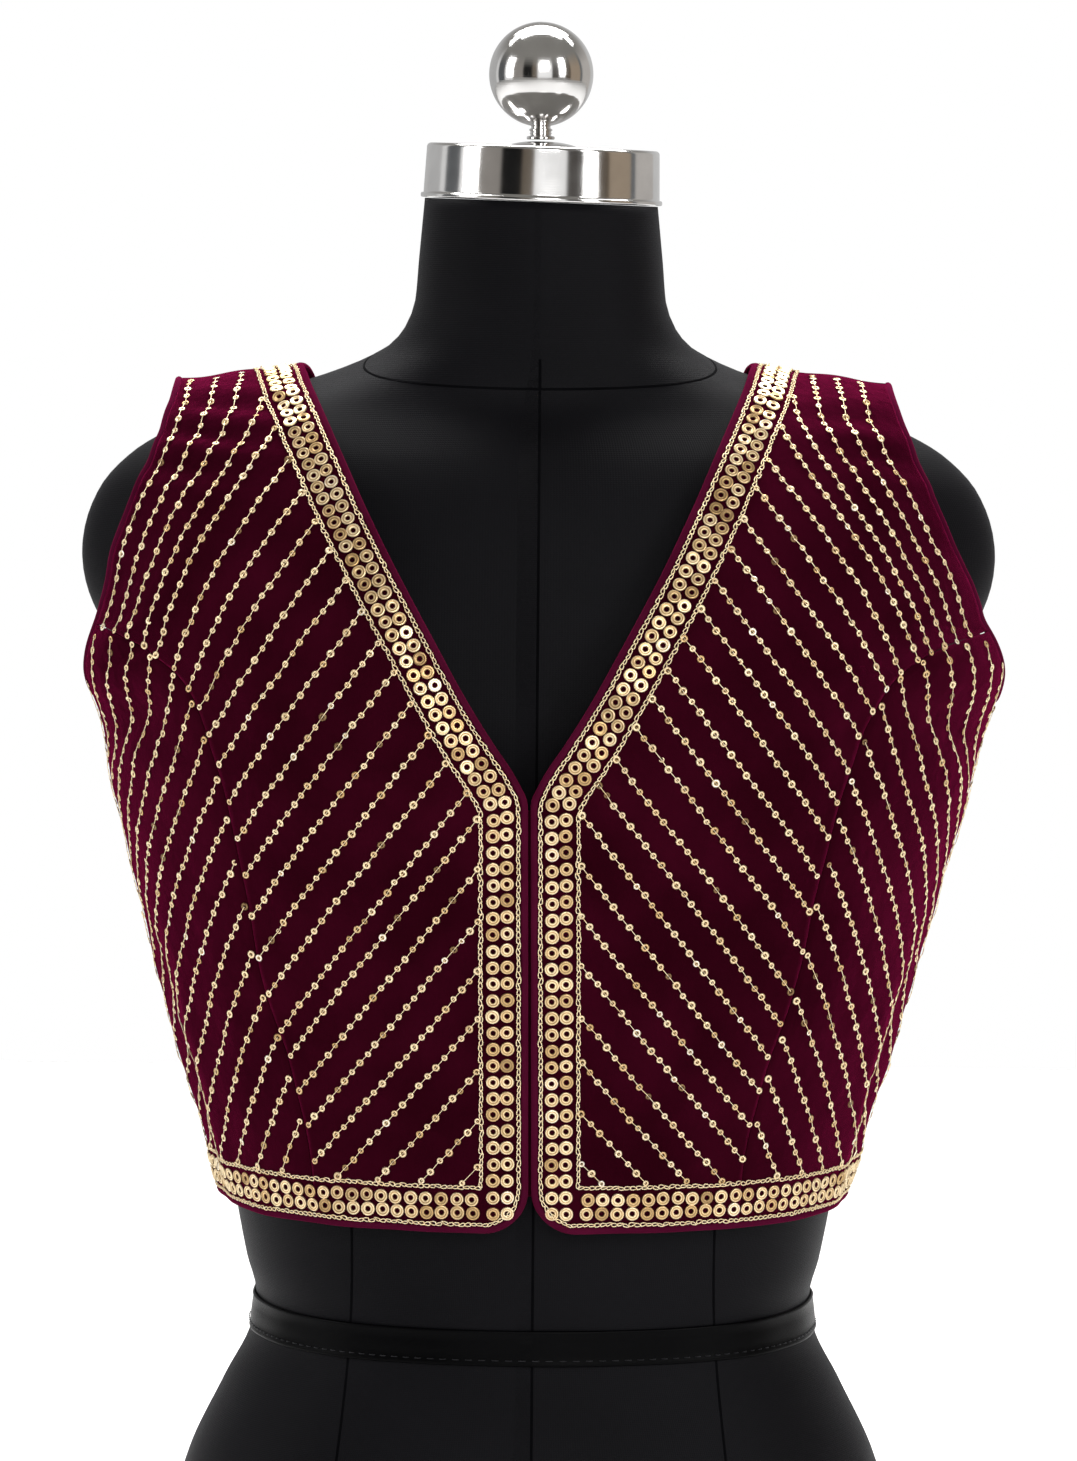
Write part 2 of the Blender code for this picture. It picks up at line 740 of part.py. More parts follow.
def make_fronts(cloth, collection):
    """The centre front and side front of each side."""
    trim = 2 * BINDING_RADIUS + BINDING_GAP
    outer = np.where(np.arange(SEAM_ROWS + ARMHOLE_ROWS) < SEAM_ROWS, SEAM_HALF_GAP, trim)
    for name, side in (("left", 1), ("right", -1)):
        front = drawn_in(front_patch(side), trim, outer, trim, SHOULDER_HALF_GAP)
        cloth_panel(f"front_{name}", [(front, side)], cloth, collection)
        piece = drawn_in(side_patch(side), SEAM_HALF_GAP, SEAM_HALF_GAP, trim, trim)
        cloth_panel(f"side_front_{name}", [(piece, side)], cloth, collection)


def make_back(cloth, collection):
    """The back panel: two patches joined at centre back, with no seam there."""
    trim = 2 * BINDING_RADIUS + BINDING_GAP
    steps = np.arange(SEAM_ROWS + BACK_ARMHOLE_ROWS)
    outer = np.where(steps < SEAM_ROWS, SEAM_HALF_GAP, trim)
    inner = np.where(steps < len(steps) - BACK_NECK_ROWS, 0.0, trim)
    halves = []
    for side in (1, -1):
        grid = drawn_in(back_patch(side), outer, inner, trim, SHOULDER_HALF_GAP)
        grid[: len(steps) - BACK_NECK_ROWS + 1, -1, 0] = math.pi
        halves.append((grid, side))
    cloth_panel("back", halves, cloth, collection)


def make_underlap(cloth, collection):
    """The strip behind the opening that the fronts close over."""
    grid = []
    for height in np.linspace(UNDERLAP_LOW, UNDERLAP_HIGH, 15):
        middle = opening_shift(height, 1)
        outs = np.linspace(middle - UNDERLAP_HALF_WIDTH, middle + UNDERLAP_HALF_WIDTH, 4)
        grid.append([place_for(EdgePoint(height, out)) for out in outs])
    patches = [(np.array(grid), 1)]
    cloth_panel("underlap", patches, cloth, collection, -UNDERLAP_DEPTH, UNDERLAP_THICKNESS)


def make_torso(cover, collection):
    """The form's torso and neck, closed flat below and at the neck."""
    turns = [2 * math.pi * i / FORM_SEGMENTS for i in range(FORM_SEGMENTS)]
    points, faces = [], []
    for ring in FORM_RINGS:
        points += [form_point(wrapped(turn), ring.height) for turn in turns]
    for j in range(len(FORM_RINGS) - 1):
        for i in range(FORM_SEGMENTS):
            a, b = j * FORM_SEGMENTS + i, j * FORM_SEGMENTS + (i + 1) % FORM_SEGMENTS
            faces.append((a, b, b + FORM_SEGMENTS, a + FORM_SEGMENTS))
    faces.append(tuple(range(FORM_SEGMENTS))[::-1])
    faces.append(tuple(range(len(points) - FORM_SEGMENTS, len(points))))
    return mesh_object("form_torso", points, faces, cover, collection)


def wrapped(turn):
    """The same turn, between minus and plus half a circle."""
    return (turn + math.pi) % (2 * math.pi) - math.pi


def make_ribbon(satin, collection):
    """The ribbon round the form's waist."""
    points, faces = [], []
    for height in (RIBBON_LOW, RIBBON_HIGH):
        for i in range(FORM_SEGMENTS):
            turn = wrapped(2 * math.pi * i / FORM_SEGMENTS)
            points.append(form_point(turn, height, RIBBON_GAP))
    for i in range(FORM_SEGMENTS):
        j = (i + 1) % FORM_SEGMENTS
        faces.append((i, j, j + FORM_SEGMENTS, i + FORM_SEGMENTS))
    obj = mesh_object("form_ribbon", points, faces, satin, collection)
    add_thickness(obj, RIBBON_THICKNESS, 1.0)


def skin_out(y, height):
    """How far the form's side stands from the centre plane, this far behind the axis."""
    depth = smooth_value(FORM_RINGS, "front" if y < 0 else "back", height)
    share = min(abs(y) / depth, 1.0)
    turn = math.pi / 2 - turn_for(share)
    return smooth_value(FORM_RINGS, "half_width", height) * squared(turn)[0]


def make_pad(name, side, cover, collection):
    """The rounded shoulder of one side: a domed pad that follows the torso on its inside."""
    segments, rings = 18, (0.0, 0.3, 0.55, 0.76, 0.91, 1.0)
    outer, inner, faces = [], [], []
    for share in rings:
        for i in range(segments if share else 1):
            angle = 2 * math.pi * i / segments
            y = PAD_CENTRE_BACK + PAD_HALF_DEPTH * share * math.cos(angle)
            height = PAD_CENTRE_HEIGHT + PAD_HALF_HEIGHT * share * math.sin(angle)
            base = skin_out(y, height) + PAD_GAP
            dome = PAD_RIM + PAD_BULGE * (1 - share * share)
            outer.append(Vector((side * (base + dome), y, height)))
            inner.append(Vector((side * base, y, height)))
    count = len(outer)

    def index(ring, i):
        return 0 if ring == 0 else 1 + (ring - 1) * segments + i % segments

    for i in range(segments):
        faces.append((0, index(1, i), index(1, i + 1)))
        faces.append((count, count + index(1, i + 1), count + index(1, i)))
        for ring in range(1, len(rings) - 1):
            quad = (index(ring, i), index(ring + 1, i), index(ring + 1, i + 1), index(ring, i + 1))
            faces.append(quad)
            faces.append(tuple(count + corner for corner in quad[::-1]))
        last, after = index(len(rings) - 1, i), index(len(rings) - 1, i + 1)
        faces.append((last, count + last, count + after, after))
    if side < 0:
        faces = [face[::-1] for face in faces]
    mesh_object(name, outer + inner, faces, cover, collection)


def lathe(name, profile, material, collection):
    """A solid of revolution about its own upright axis, from its profile of radius and height."""
    points = [(radius, 0.0, height) for radius, height in profile]
    shape = bmesh.new()
    corners = [shape.verts.new(point) for point in points]
    for a, b in zip(corners, corners[1:]):
        shape.edges.new((a, b))
    mesh = bpy.data.meshes.new(name)
    shape.to_mesh(mesh)
    shape.free()
    obj = place_object(name, mesh, material, collection)
    screw = obj.modifiers.new("Turn", "SCREW")
    screw.steps = LATHE_STEPS
    screw.render_steps = LATHE_STEPS
    screw.use_merge_vertices = True
    screw.merge_threshold = 1e-5
    screw.use_normal_calculate = True
    return obj


def make_cap_and_finial(chrome, collection):
    """The bright cap on the neck, and the ball that stands on it by a short stem."""
    dome = CAP_HEIGHT + CAP_DOME
    cap = lathe(
        "form_cap",
        (
            (0.0, 0.0),
            (CAP_LIP_RADIUS - 0.0006, 0.0),
            (CAP_LIP_RADIUS, 0.0006),
            (CAP_LIP_RADIUS, CAP_LIP_HEIGHT - 0.0004),
            (CAP_RADIUS + 0.0002, CAP_LIP_HEIGHT),
            (CAP_RADIUS - 0.0006, CAP_HEIGHT - 0.0014),
            (CAP_RADIUS - 0.0012, CAP_HEIGHT - 0.0004),
            (CAP_RADIUS - 0.0024, CAP_HEIGHT),
            (CAP_DOME_RADIUS, CAP_HEIGHT + 0.0004),
            (CAP_DOME_RADIUS * 0.85, dome - 0.0010),
            (CAP_DOME_RADIUS * 0.60, dome - 0.0002),
            (0.0, dome),
        ),
        chrome,
        collection,
    )
    ball_base = STEM_LENGTH + 0.0006
    ball = [
        (
            BALL_RADIUS * math.sin(angle),
            ball_base + BALL_RADIUS * (1 - math.cos(angle)),
        )
        for angle in np.linspace(0.19, math.pi, 14)
    ]
    finial = lathe(
        "form_finial",
        (
            (0.0, 0.0),
            (STEM_COLLAR_RADIUS, 0.0),
            (STEM_COLLAR_RADIUS, 0.0014),
            (STEM_RADIUS, 0.0020),
            (STEM_RADIUS, 0.0036),
            (STEM_RADIUS * 1.12, 0.0042),
            (STEM_RADIUS * 0.92, 0.0050),
            *ball[:-1],
            (0.0, ball[-1][1]),
        ),
        chrome,
        collection,
    )
    cap.location = (0.0, 0.0, NECK_TOP_HEIGHT + CAP_GAP)
    cap.rotation_euler = (0.0, NECK_TILT, 0.0)
    finial.location = (FINIAL_OUT, 0.0, NECK_TOP_HEIGHT + 3 * CAP_GAP + dome)


def main():
    collection = cleared()
    cloth = make_material("maroon_cloth", (0.042, 0.005, 0.016), 0.6)
    piping = make_material("maroon_piping", (0.055, 0.006, 0.020), 0.55)
    cover = make_material("black_jersey", (0.004, 0.004, 0.005), 0.85)
    satin = make_material("black_satin", (0.006, 0.006, 0.007), 0.35)
    chrome = make_material("chrome", (0.75, 0.76, 0.78), 0.12, 1.0)
    make_fronts(cloth, collection)
    make_back(cloth, collection)
    make_underlap(cloth, collection)
    binding("binding_edge", edge_loop(), BINDING_RADIUS, piping, collection)
    for name, side in (("left", 1), ("right", -1)):
        loop = armhole_loop(side)
        binding(f"binding_armhole_{name}", loop, -side * BINDING_RADIUS, piping, collection)
        make_pad(f"form_pad_{name}", side, cover, collection)
    make_torso(cover, collection)
    make_ribbon(satin, collection)
    make_cap_and_finial(chrome, collection)


main()
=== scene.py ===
"""Dresses a sleeveless choli blouse and its form: cloth, piping, gold work, jersey and chrome."""

import logging
import math
from dataclasses import dataclass
from enum import Enum
from typing import NamedTuple, Optional, Sequence

import bpy
import numpy as np
from mathutils import Matrix, Vector


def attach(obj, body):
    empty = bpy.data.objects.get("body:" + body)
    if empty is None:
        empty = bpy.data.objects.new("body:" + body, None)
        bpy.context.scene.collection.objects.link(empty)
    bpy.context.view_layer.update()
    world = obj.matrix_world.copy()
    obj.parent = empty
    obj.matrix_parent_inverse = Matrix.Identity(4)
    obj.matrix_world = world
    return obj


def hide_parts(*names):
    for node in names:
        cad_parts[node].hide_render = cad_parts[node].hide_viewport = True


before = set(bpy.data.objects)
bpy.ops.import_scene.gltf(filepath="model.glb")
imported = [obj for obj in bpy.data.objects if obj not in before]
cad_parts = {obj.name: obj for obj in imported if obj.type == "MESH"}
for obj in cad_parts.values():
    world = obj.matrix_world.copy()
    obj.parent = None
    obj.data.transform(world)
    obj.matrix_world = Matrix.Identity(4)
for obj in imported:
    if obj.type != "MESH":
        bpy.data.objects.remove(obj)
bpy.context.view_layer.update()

log = logging.getLogger("choli")

Array = np.ndarray
Colour = tuple[float, float, float]

HALF_TURN = math.pi
QUARTER_TURN = math.pi / 2
CURVE_SAMPLES = 10
SLOPE_STEP = 1e-4


class FormRing(NamedTuple):
    """A horizontal section of the dress form."""

    height: float
    half_width: float
    front: float
    back: float


class ClothRing(NamedTuple):
    """A horizontal section of the garment's outside. Sway is how far its sides stand to the left."""

    height: float
    half_width: float
    front: float
    back: float
    sway: float


class EdgePoint(NamedTuple):
    """A point of a garment edge: its height, and how far out it lies from the centre plane."""

    height: float
    out: float


class Fold(NamedTuple):
    """A soft ridge (positive depth) or trough (negative). Side 0 is both sides. Turns in degrees."""

    side: int
    turn: float
    height: float
    half_turn: float
    half_height: float
    depth: float
    lean: float


class Slant(NamedTuple):
    """How far each side's gold lines lean from upright at a height, in degrees."""

    height: float
    left: float
    right: float


class Stripe(NamedTuple):
    """What stands round the studio, from an azimuth on: 0 is the camera's side, degrees to the right."""

    azimuth: float
    light: float
    warmth: float


FORM_RINGS = (
    FormRing(0.0000, 0.1660, 0.0940, 0.1220),
    FormRing(0.0200, 0.1720, 0.0980, 0.1270),
    FormRing(0.0600, 0.1745, 0.1020, 0.1300),
    FormRing(0.1100, 0.1695, 0.1040, 0.1260),
    FormRing(0.1400, 0.1630, 0.1040, 0.1190),
    FormRing(0.1720, 0.1538, 0.1030, 0.1080),
    FormRing(0.2050, 0.1380, 0.1000, 0.0940),
    FormRing(0.2295, 0.1262, 0.0975, 0.0850),
    FormRing(0.2450, 0.1245, 0.0965, 0.0825),
    FormRing(0.2610, 0.1285, 0.0970, 0.0825),
    FormRing(0.2920, 0.1345, 0.0990, 0.0835),
    FormRing(0.3330, 0.1430, 0.1020, 0.0860),
    FormRing(0.3770, 0.1510, 0.1050, 0.0880),
    FormRing(0.4210, 0.1600, 0.1080, 0.0900),
    FormRing(0.4660, 0.1670, 0.1090, 0.0915),
    FormRing(0.5000, 0.1700, 0.1090, 0.0920),
    FormRing(0.5400, 0.1710, 0.1040, 0.0910),
    FormRing(0.5800, 0.1700, 0.0940, 0.0850),
    FormRing(0.6050, 0.1690, 0.0850, 0.0765),
    FormRing(0.6200, 0.1650, 0.0760, 0.0680),
    FormRing(0.6320, 0.1550, 0.0660, 0.0610),
    FormRing(0.6410, 0.1370, 0.0590, 0.0575),
    FormRing(0.6490, 0.1140, 0.0555, 0.0555),
    FormRing(0.6550, 0.0955, 0.0545, 0.0550),
    FormRing(0.6610, 0.0800, 0.0545, 0.0545),
    FormRing(0.6680, 0.0670, 0.0548, 0.0545),
    FormRing(0.6760, 0.0600, 0.0550, 0.0545),
    FormRing(0.6880, 0.0555, 0.0550, 0.0540),
    FormRing(0.7050, 0.0540, 0.0540, 0.0530),
    FormRing(0.7315, 0.0515, 0.0520, 0.0520),
)

CLOTH_RINGS = (
    ClothRing(0.290, 0.1403, 0.1110, 0.0920, 0.0000),
    ClothRing(0.333, 0.1515, 0.1120, 0.0940, 0.0000),
    ClothRing(0.378, 0.1643, 0.1150, 0.0960, 0.0002),
    ClothRing(0.423, 0.1774, 0.1190, 0.0980, 0.0008),
    ClothRing(0.468, 0.1898, 0.1225, 0.1000, 0.0020),
    ClothRing(0.500, 0.1970, 0.1240, 0.1010, 0.0028),
    ClothRing(0.531, 0.2046, 0.1240, 0.1010, 0.0031),
    ClothRing(0.555, 0.2040, 0.1240, 0.1010, 0.0018),
    ClothRing(0.600, 0.2000, 0.1240, 0.1010, -0.0022),
    ClothRing(0.630, 0.1920, 0.1240, 0.1010, -0.0030),
    ClothRing(0.660, 0.1820, 0.1240, 0.1010, -0.0036),
)

FRONT_NECK = (
    EdgePoint(0.4790, 0.0006),
    EdgePoint(0.4905, 0.0066),
    EdgePoint(0.5130, 0.0213),
    EdgePoint(0.5450, 0.0396),
    EdgePoint(0.5800, 0.0588),
    EdgePoint(0.6120, 0.0746),
    EdgePoint(0.6360, 0.0860),
    EdgePoint(0.6520, 0.0942),
)

FRONT_CORNER = (
    EdgePoint(0.2900, 0.0165),
    EdgePoint(0.2925, 0.0105),
    EdgePoint(0.2970, 0.0050),
    EdgePoint(0.3040, 0.0012),
    EdgePoint(0.3080, 0.0006),
)

BACK_NECK = (
    EdgePoint(0.5465, 0.0190),
    EdgePoint(0.5530, 0.0380),
    EdgePoint(0.5680, 0.0570),
    EdgePoint(0.5900, 0.0715),
    EdgePoint(0.6160, 0.0830),
    EdgePoint(0.6400, 0.0920),
)

PRINCESS_SEAM = (
    EdgePoint(0.290, 0.0890),
    EdgePoint(0.318, 0.0910),
    EdgePoint(0.352, 0.0980),
    EdgePoint(0.395, 0.1120),
    EdgePoint(0.434, 0.1200),
    EdgePoint(0.462, 0.1260),
    EdgePoint(0.495, 0.1350),
    EdgePoint(0.515, 0.1430),
    EdgePoint(0.530, 0.1540),
    EdgePoint(0.539, 0.1670),
    EdgePoint(0.544, 0.1810),
    EdgePoint(0.547, 0.1948),
)

FRONT_ARMHOLE = (
    EdgePoint(0.547, 0.1948),
    EdgePoint(0.560, 0.1915),
    EdgePoint(0.576, 0.1865),
    EdgePoint(0.594, 0.1795),
    EdgePoint(0.612, 0.1720),
    EdgePoint(0.628, 0.1655),
    EdgePoint(0.642, 0.1608),
)

BACK_ARMHOLE = (
    EdgePoint(0.540, 0.1965),
    EdgePoint(0.560, 0.1890),
    EdgePoint(0.582, 0.1800),
    EdgePoint(0.606, 0.1710),
    EdgePoint(0.628, 0.1645),
    EdgePoint(0.642, 0.1608),
)

# The garment's largest folds, as its solids have them
FOLDS = (
    Fold(0, 70.0, 0.534, 14.0, 0.014, 0.0030, 0.0000),
    Fold(0, 62.0, 0.508, 16.0, 0.011, -0.0050, -0.0008),
    Fold(0, 66.0, 0.350, 4.0, 0.050, 0.0026, 0.0000),
    Fold(0, 76.0, 0.345, 4.0, 0.055, -0.0022, 0.0000),
    Fold(0, 86.0, 0.365, 4.5, 0.050, 0.0024, 0.0000),
    Fold(0, 112.0, 0.350, 6.0, 0.055, 0.0022, 0.0000),
    Fold(0, 128.0, 0.360, 6.0, 0.050, -0.0020, 0.0000),
)

# Small creases: ripples across the straps, kinks by the armholes, drags at the bust and the back
CREASES = (
    Fold(-1, 40.0, 0.6480, 12.0, 0.0020, 0.0011, 0.00010),
    Fold(-1, 44.0, 0.6425, 12.0, 0.0021, -0.0012, 0.00014),
    Fold(-1, 42.0, 0.6365, 11.0, 0.0025, 0.0015, 0.00016),
    Fold(-1, 47.0, 0.6300, 10.0, 0.0023, -0.0014, 0.00020),
    Fold(-1, 45.0, 0.6235, 12.0, 0.0028, 0.0013, 0.00018),
    Fold(-1, 50.0, 0.6155, 9.0, 0.0030, -0.0011, 0.00022),
    Fold(-1, 47.0, 0.6070, 10.0, 0.0035, 0.0009, 0.00024),
    Fold(-1, 58.0, 0.5700, 7.0, 0.0060, -0.0013, -0.00060),
    Fold(-1, 56.0, 0.5480, 9.0, 0.0050, 0.0018, -0.00070),
    Fold(-1, 60.0, 0.5330, 8.0, 0.0035, -0.0020, -0.00080),
    Fold(-1, 52.0, 0.5350, 8.0, 0.0040, 0.0010, -0.00050),
    Fold(1, 42.0, 0.6460, 10.0, 0.0022, 0.0009, -0.00008),
    Fold(1, 44.0, 0.6390, 10.0, 0.0024, -0.0011, -0.00012),
    Fold(1, 46.0, 0.6310, 10.0, 0.0027, 0.0012, -0.00016),
    Fold(1, 50.0, 0.6220, 9.0, 0.0030, -0.0010, -0.00018),
    Fold(1, 54.0, 0.6110, 9.0, 0.0035, 0.0009, -0.00020),
    Fold(1, 58.0, 0.5850, 8.0, 0.0060, -0.0009, -0.00040),
    Fold(1, 60.0, 0.5640, 7.0, 0.0055, 0.0011, 0.00050),
    Fold(1, 64.0, 0.5490, 8.0, 0.0045, -0.0014, 0.00060),
    Fold(1, 58.0, 0.5360, 9.0, 0.0040, 0.0012, 0.00040),
    Fold(0, 40.0, 0.4550, 3.5, 0.0500, -0.0009, 0.00000),
    Fold(0, 33.0, 0.4100, 3.0, 0.0600, 0.0008, 0.00000),
    Fold(-1, 50.0, 0.4000, 3.0, 0.0500, 0.0008, 0.00000),
    Fold(1, 52.0, 0.3900, 3.2, 0.0450, -0.0008, 0.00000),
    Fold(0, 20.0, 0.3500, 3.5, 0.0500, -0.0005, 0.00000),
    Fold(-1, 146.0, 0.4700, 14.0, 0.0070, 0.0012, 0.00030),
    Fold(1, 140.0, 0.4400, 16.0, 0.0080, -0.0013, -0.00020),
    Fold(0, 120.0, 0.5100, 12.0, 0.0060, 0.0012, 0.00060),
    Fold(-1, 160.0, 0.4000, 9.0, 0.0500, 0.0008, 0.00000),
    Fold(1, 155.0, 0.3700, 8.0, 0.0500, -0.0008, 0.00000),
    Fold(0, 138.0, 0.6420, 9.0, 0.0024, 0.0009, 0.00010),
    Fold(0, 134.0, 0.6340, 9.0, 0.0026, -0.0009, 0.00012),
    Fold(0, 130.0, 0.6250, 9.0, 0.0030, 0.0008, 0.00014),
)

# The lean of the gold lines on the centre fronts
FRONT_SLANT = (
    Slant(0.290, 43.0, 43.0),
    Slant(0.330, 42.0, 42.0),
    Slant(0.380, 39.0, 39.0),
    Slant(0.420, 38.0, 38.0),
    Slant(0.533, 38.0, 38.0),
    Slant(0.568, 38.0, 38.0),
    Slant(0.586, 39.0, 39.0),
    Slant(0.604, 41.0, 40.0),
    Slant(0.622, 38.0, 37.0),
    Slant(0.637, 27.0, 28.0),
    Slant(0.647, 10.0, 12.0),
    Slant(0.656, 2.0, 2.0),
)

ROOM = (
    Stripe(-180.0, 0.62, 0.0),
    Stripe(-119.0, 0.95, 0.0),
    Stripe(-110.0, 0.14, -0.2),
    Stripe(-89.0, 1.10, 0.0),
    Stripe(-66.0, 0.34, 0.3),
    Stripe(-41.0, 0.012, 0.0),
    Stripe(-20.0, 0.15, 0.9),
    Stripe(-8.0, 1.25, 0.0),
    Stripe(24.0, 0.085, 0.4),
    Stripe(40.0, 1.10, 0.0),
    Stripe(55.0, 0.10, 1.2),
    Stripe(69.0, 0.36, 1.0),
    Stripe(97.0, 0.20, -0.2),
    Stripe(104.0, 0.60, 0.2),
    Stripe(140.0, 0.75, 0.0),
)

# Where the room's stripes show between floor and ceiling, and its light there
EYE_LEVELS = ((0.30, 0.0), (0.42, 1.0), (0.62, 1.0), (0.80, 0.0))
DIM_ROOM = (0.30, 0.29, 0.27, 1.0)
WARM_TINT = 0.25


def hermite(t: Array, span: Array, ends: Sequence[Array], slopes: Sequence[Array]) -> Array:
    """Reads the cubic between two values with the given slopes.

    Args:
        t: Share of the span.
        span: Length of the span.
        ends: The values at its two ends.
        slopes: The slopes at its two ends.

    Returns:
        The value at the share t.
    """
    start = (1 + 2 * t) * (1 - t) ** 2 * ends[0] + t * (1 - t) ** 2 * span * slopes[0]
    return start + t * t * (3 - 2 * t) * ends[1] + t * t * (t - 1) * span * slopes[1]


def smooth_values(rows: Sequence[NamedTuple], column: str, heights: Array) -> Array:
    """Reads a table's column at many heights, through a cubic that never overshoots the rows.

    Args:
        rows: The table, whose first column is the height.
        column: The name of the column to read.
        heights: Where to read it.

    Returns:
        One value for each height.
    """
    at = np.array([row[0] for row in rows])
    values = np.array([getattr(row, column) for row in rows])
    rises = np.diff(values) / np.diff(at)
    same_way = rises[:-1] * rises[1:] > 0
    total = np.where(same_way, rises[:-1] + rises[1:], 1.0)
    inner = np.where(same_way, 2 * rises[:-1] * rises[1:] / total, 0.0)
    slopes = np.concatenate([[rises[0]], inner, [rises[-1]]])
    heights = np.clip(heights, at[0], at[-1])
    i = np.clip(np.searchsorted(at, heights, side="right") - 1, 0, len(at) - 2)
    span = at[i + 1] - at[i]
    t = (heights - at[i]) / span
    return hermite(t, span, (values[i], values[i + 1]), (slopes[i], slopes[i + 1]))


def bell(distance: Array, half: float) -> Array:
    """A smooth hump that is 1 at no distance."""
    return np.exp(-((distance / half) ** 2))


def unit(vectors: Array) -> Array:
    """The same vectors, each with length 1."""
    return vectors / np.maximum(np.linalg.norm(vectors, axis=-1, keepdims=True), 1e-12)


def wrapped(turn: Array) -> Array:
    """The same turn, between minus and plus half a circle."""
    return (turn + HALF_TURN) % (2 * HALF_TURN) - HALF_TURN


def squared(turn: Array, squaring: float = 0.025) -> tuple[Array, Array]:
    """Sine and cosine of a turn, swelled towards a rounded rectangle.

    Args:
        turn: Angle round the body from centre front.
        squaring: How much the section is swelled.

    Returns:
        The shares across and ahead, both of which still reach 1.
    """
    across = (np.sin(turn) + squaring * np.sin(3 * turn)) / (1 - squaring)
    ahead = (np.cos(turn) - squaring * np.cos(3 * turn)) / (1 - squaring)
    return across, ahead


TURNS = np.linspace(0, QUARTER_TURN, 400)
ACROSS = squared(TURNS)[0]


def turn_for(share: Array) -> Array:
    """The turn, from centre front, at which a section reaches this share of its half width."""
    return np.copysign(np.interp(np.abs(share), ACROSS, TURNS), share)


def fold_depth(folds: Sequence[Fold], turn: Array, height: Array) -> Array:
    """Adds up folds at many places.

    Args:
        folds: The folds, in degrees and metres.
        turn: Angle of each place.
        height: Height of each place.

    Returns:
        How far each place is pushed out.
    """
    turn = wrapped(turn)
    degrees = np.abs(np.degrees(turn))
    total = np.zeros_like(degrees)
    for fold in folds:
        along = degrees - fold.turn
        across = height - fold.height - fold.lean * along
        here = fold.depth * bell(along, fold.half_turn) * bell(across, fold.half_height)
        total += here if fold.side == 0 else np.where(turn * fold.side > 0, here, 0.0)
    return total


def sided(places: Array, side: int) -> Array:
    """The places on this side of the body: +1 is the wearer's left."""
    return places * np.array([side, 1.0])


def patch(left: Array, right: Array, bottom: Array, top: Array) -> Array:
    """Fills a patch with places in between four border curves with shared corners.

    Args:
        left: Border at the first column.
        right: Border at the last column.
        bottom: Border at the first row.
        top: Border at the last row.

    Returns:
        The places, row by row.
    """
    v = np.linspace(0, 1, len(left))[:, None, None]
    u = np.linspace(0, 1, len(bottom))[None, :, None]
    sides = (1 - u) * left[:, None] + u * right[:, None]
    ends = (1 - v) * bottom[None] + v * top[None]
    low = (1 - u) * bottom[0] + u * bottom[-1]
    high = (1 - u) * top[0] + u * top[-1]
    return sides + ends - (1 - v) * low - v * high


def line(start: Sequence[float], end: Sequence[float], steps: int) -> Array:
    """Evenly spaced places from one place to another."""
    return np.linspace(np.array(start), np.array(end), steps + 1)


def answer(pulls: Sequence[tuple[Array, float]]) -> Array:
    """The shortest move that satisfies these pulls."""
    ways = np.array([way for way, _ in pulls])
    return np.linalg.lstsq(ways, np.array([far for _, far in pulls]), rcond=1e-3)[0]


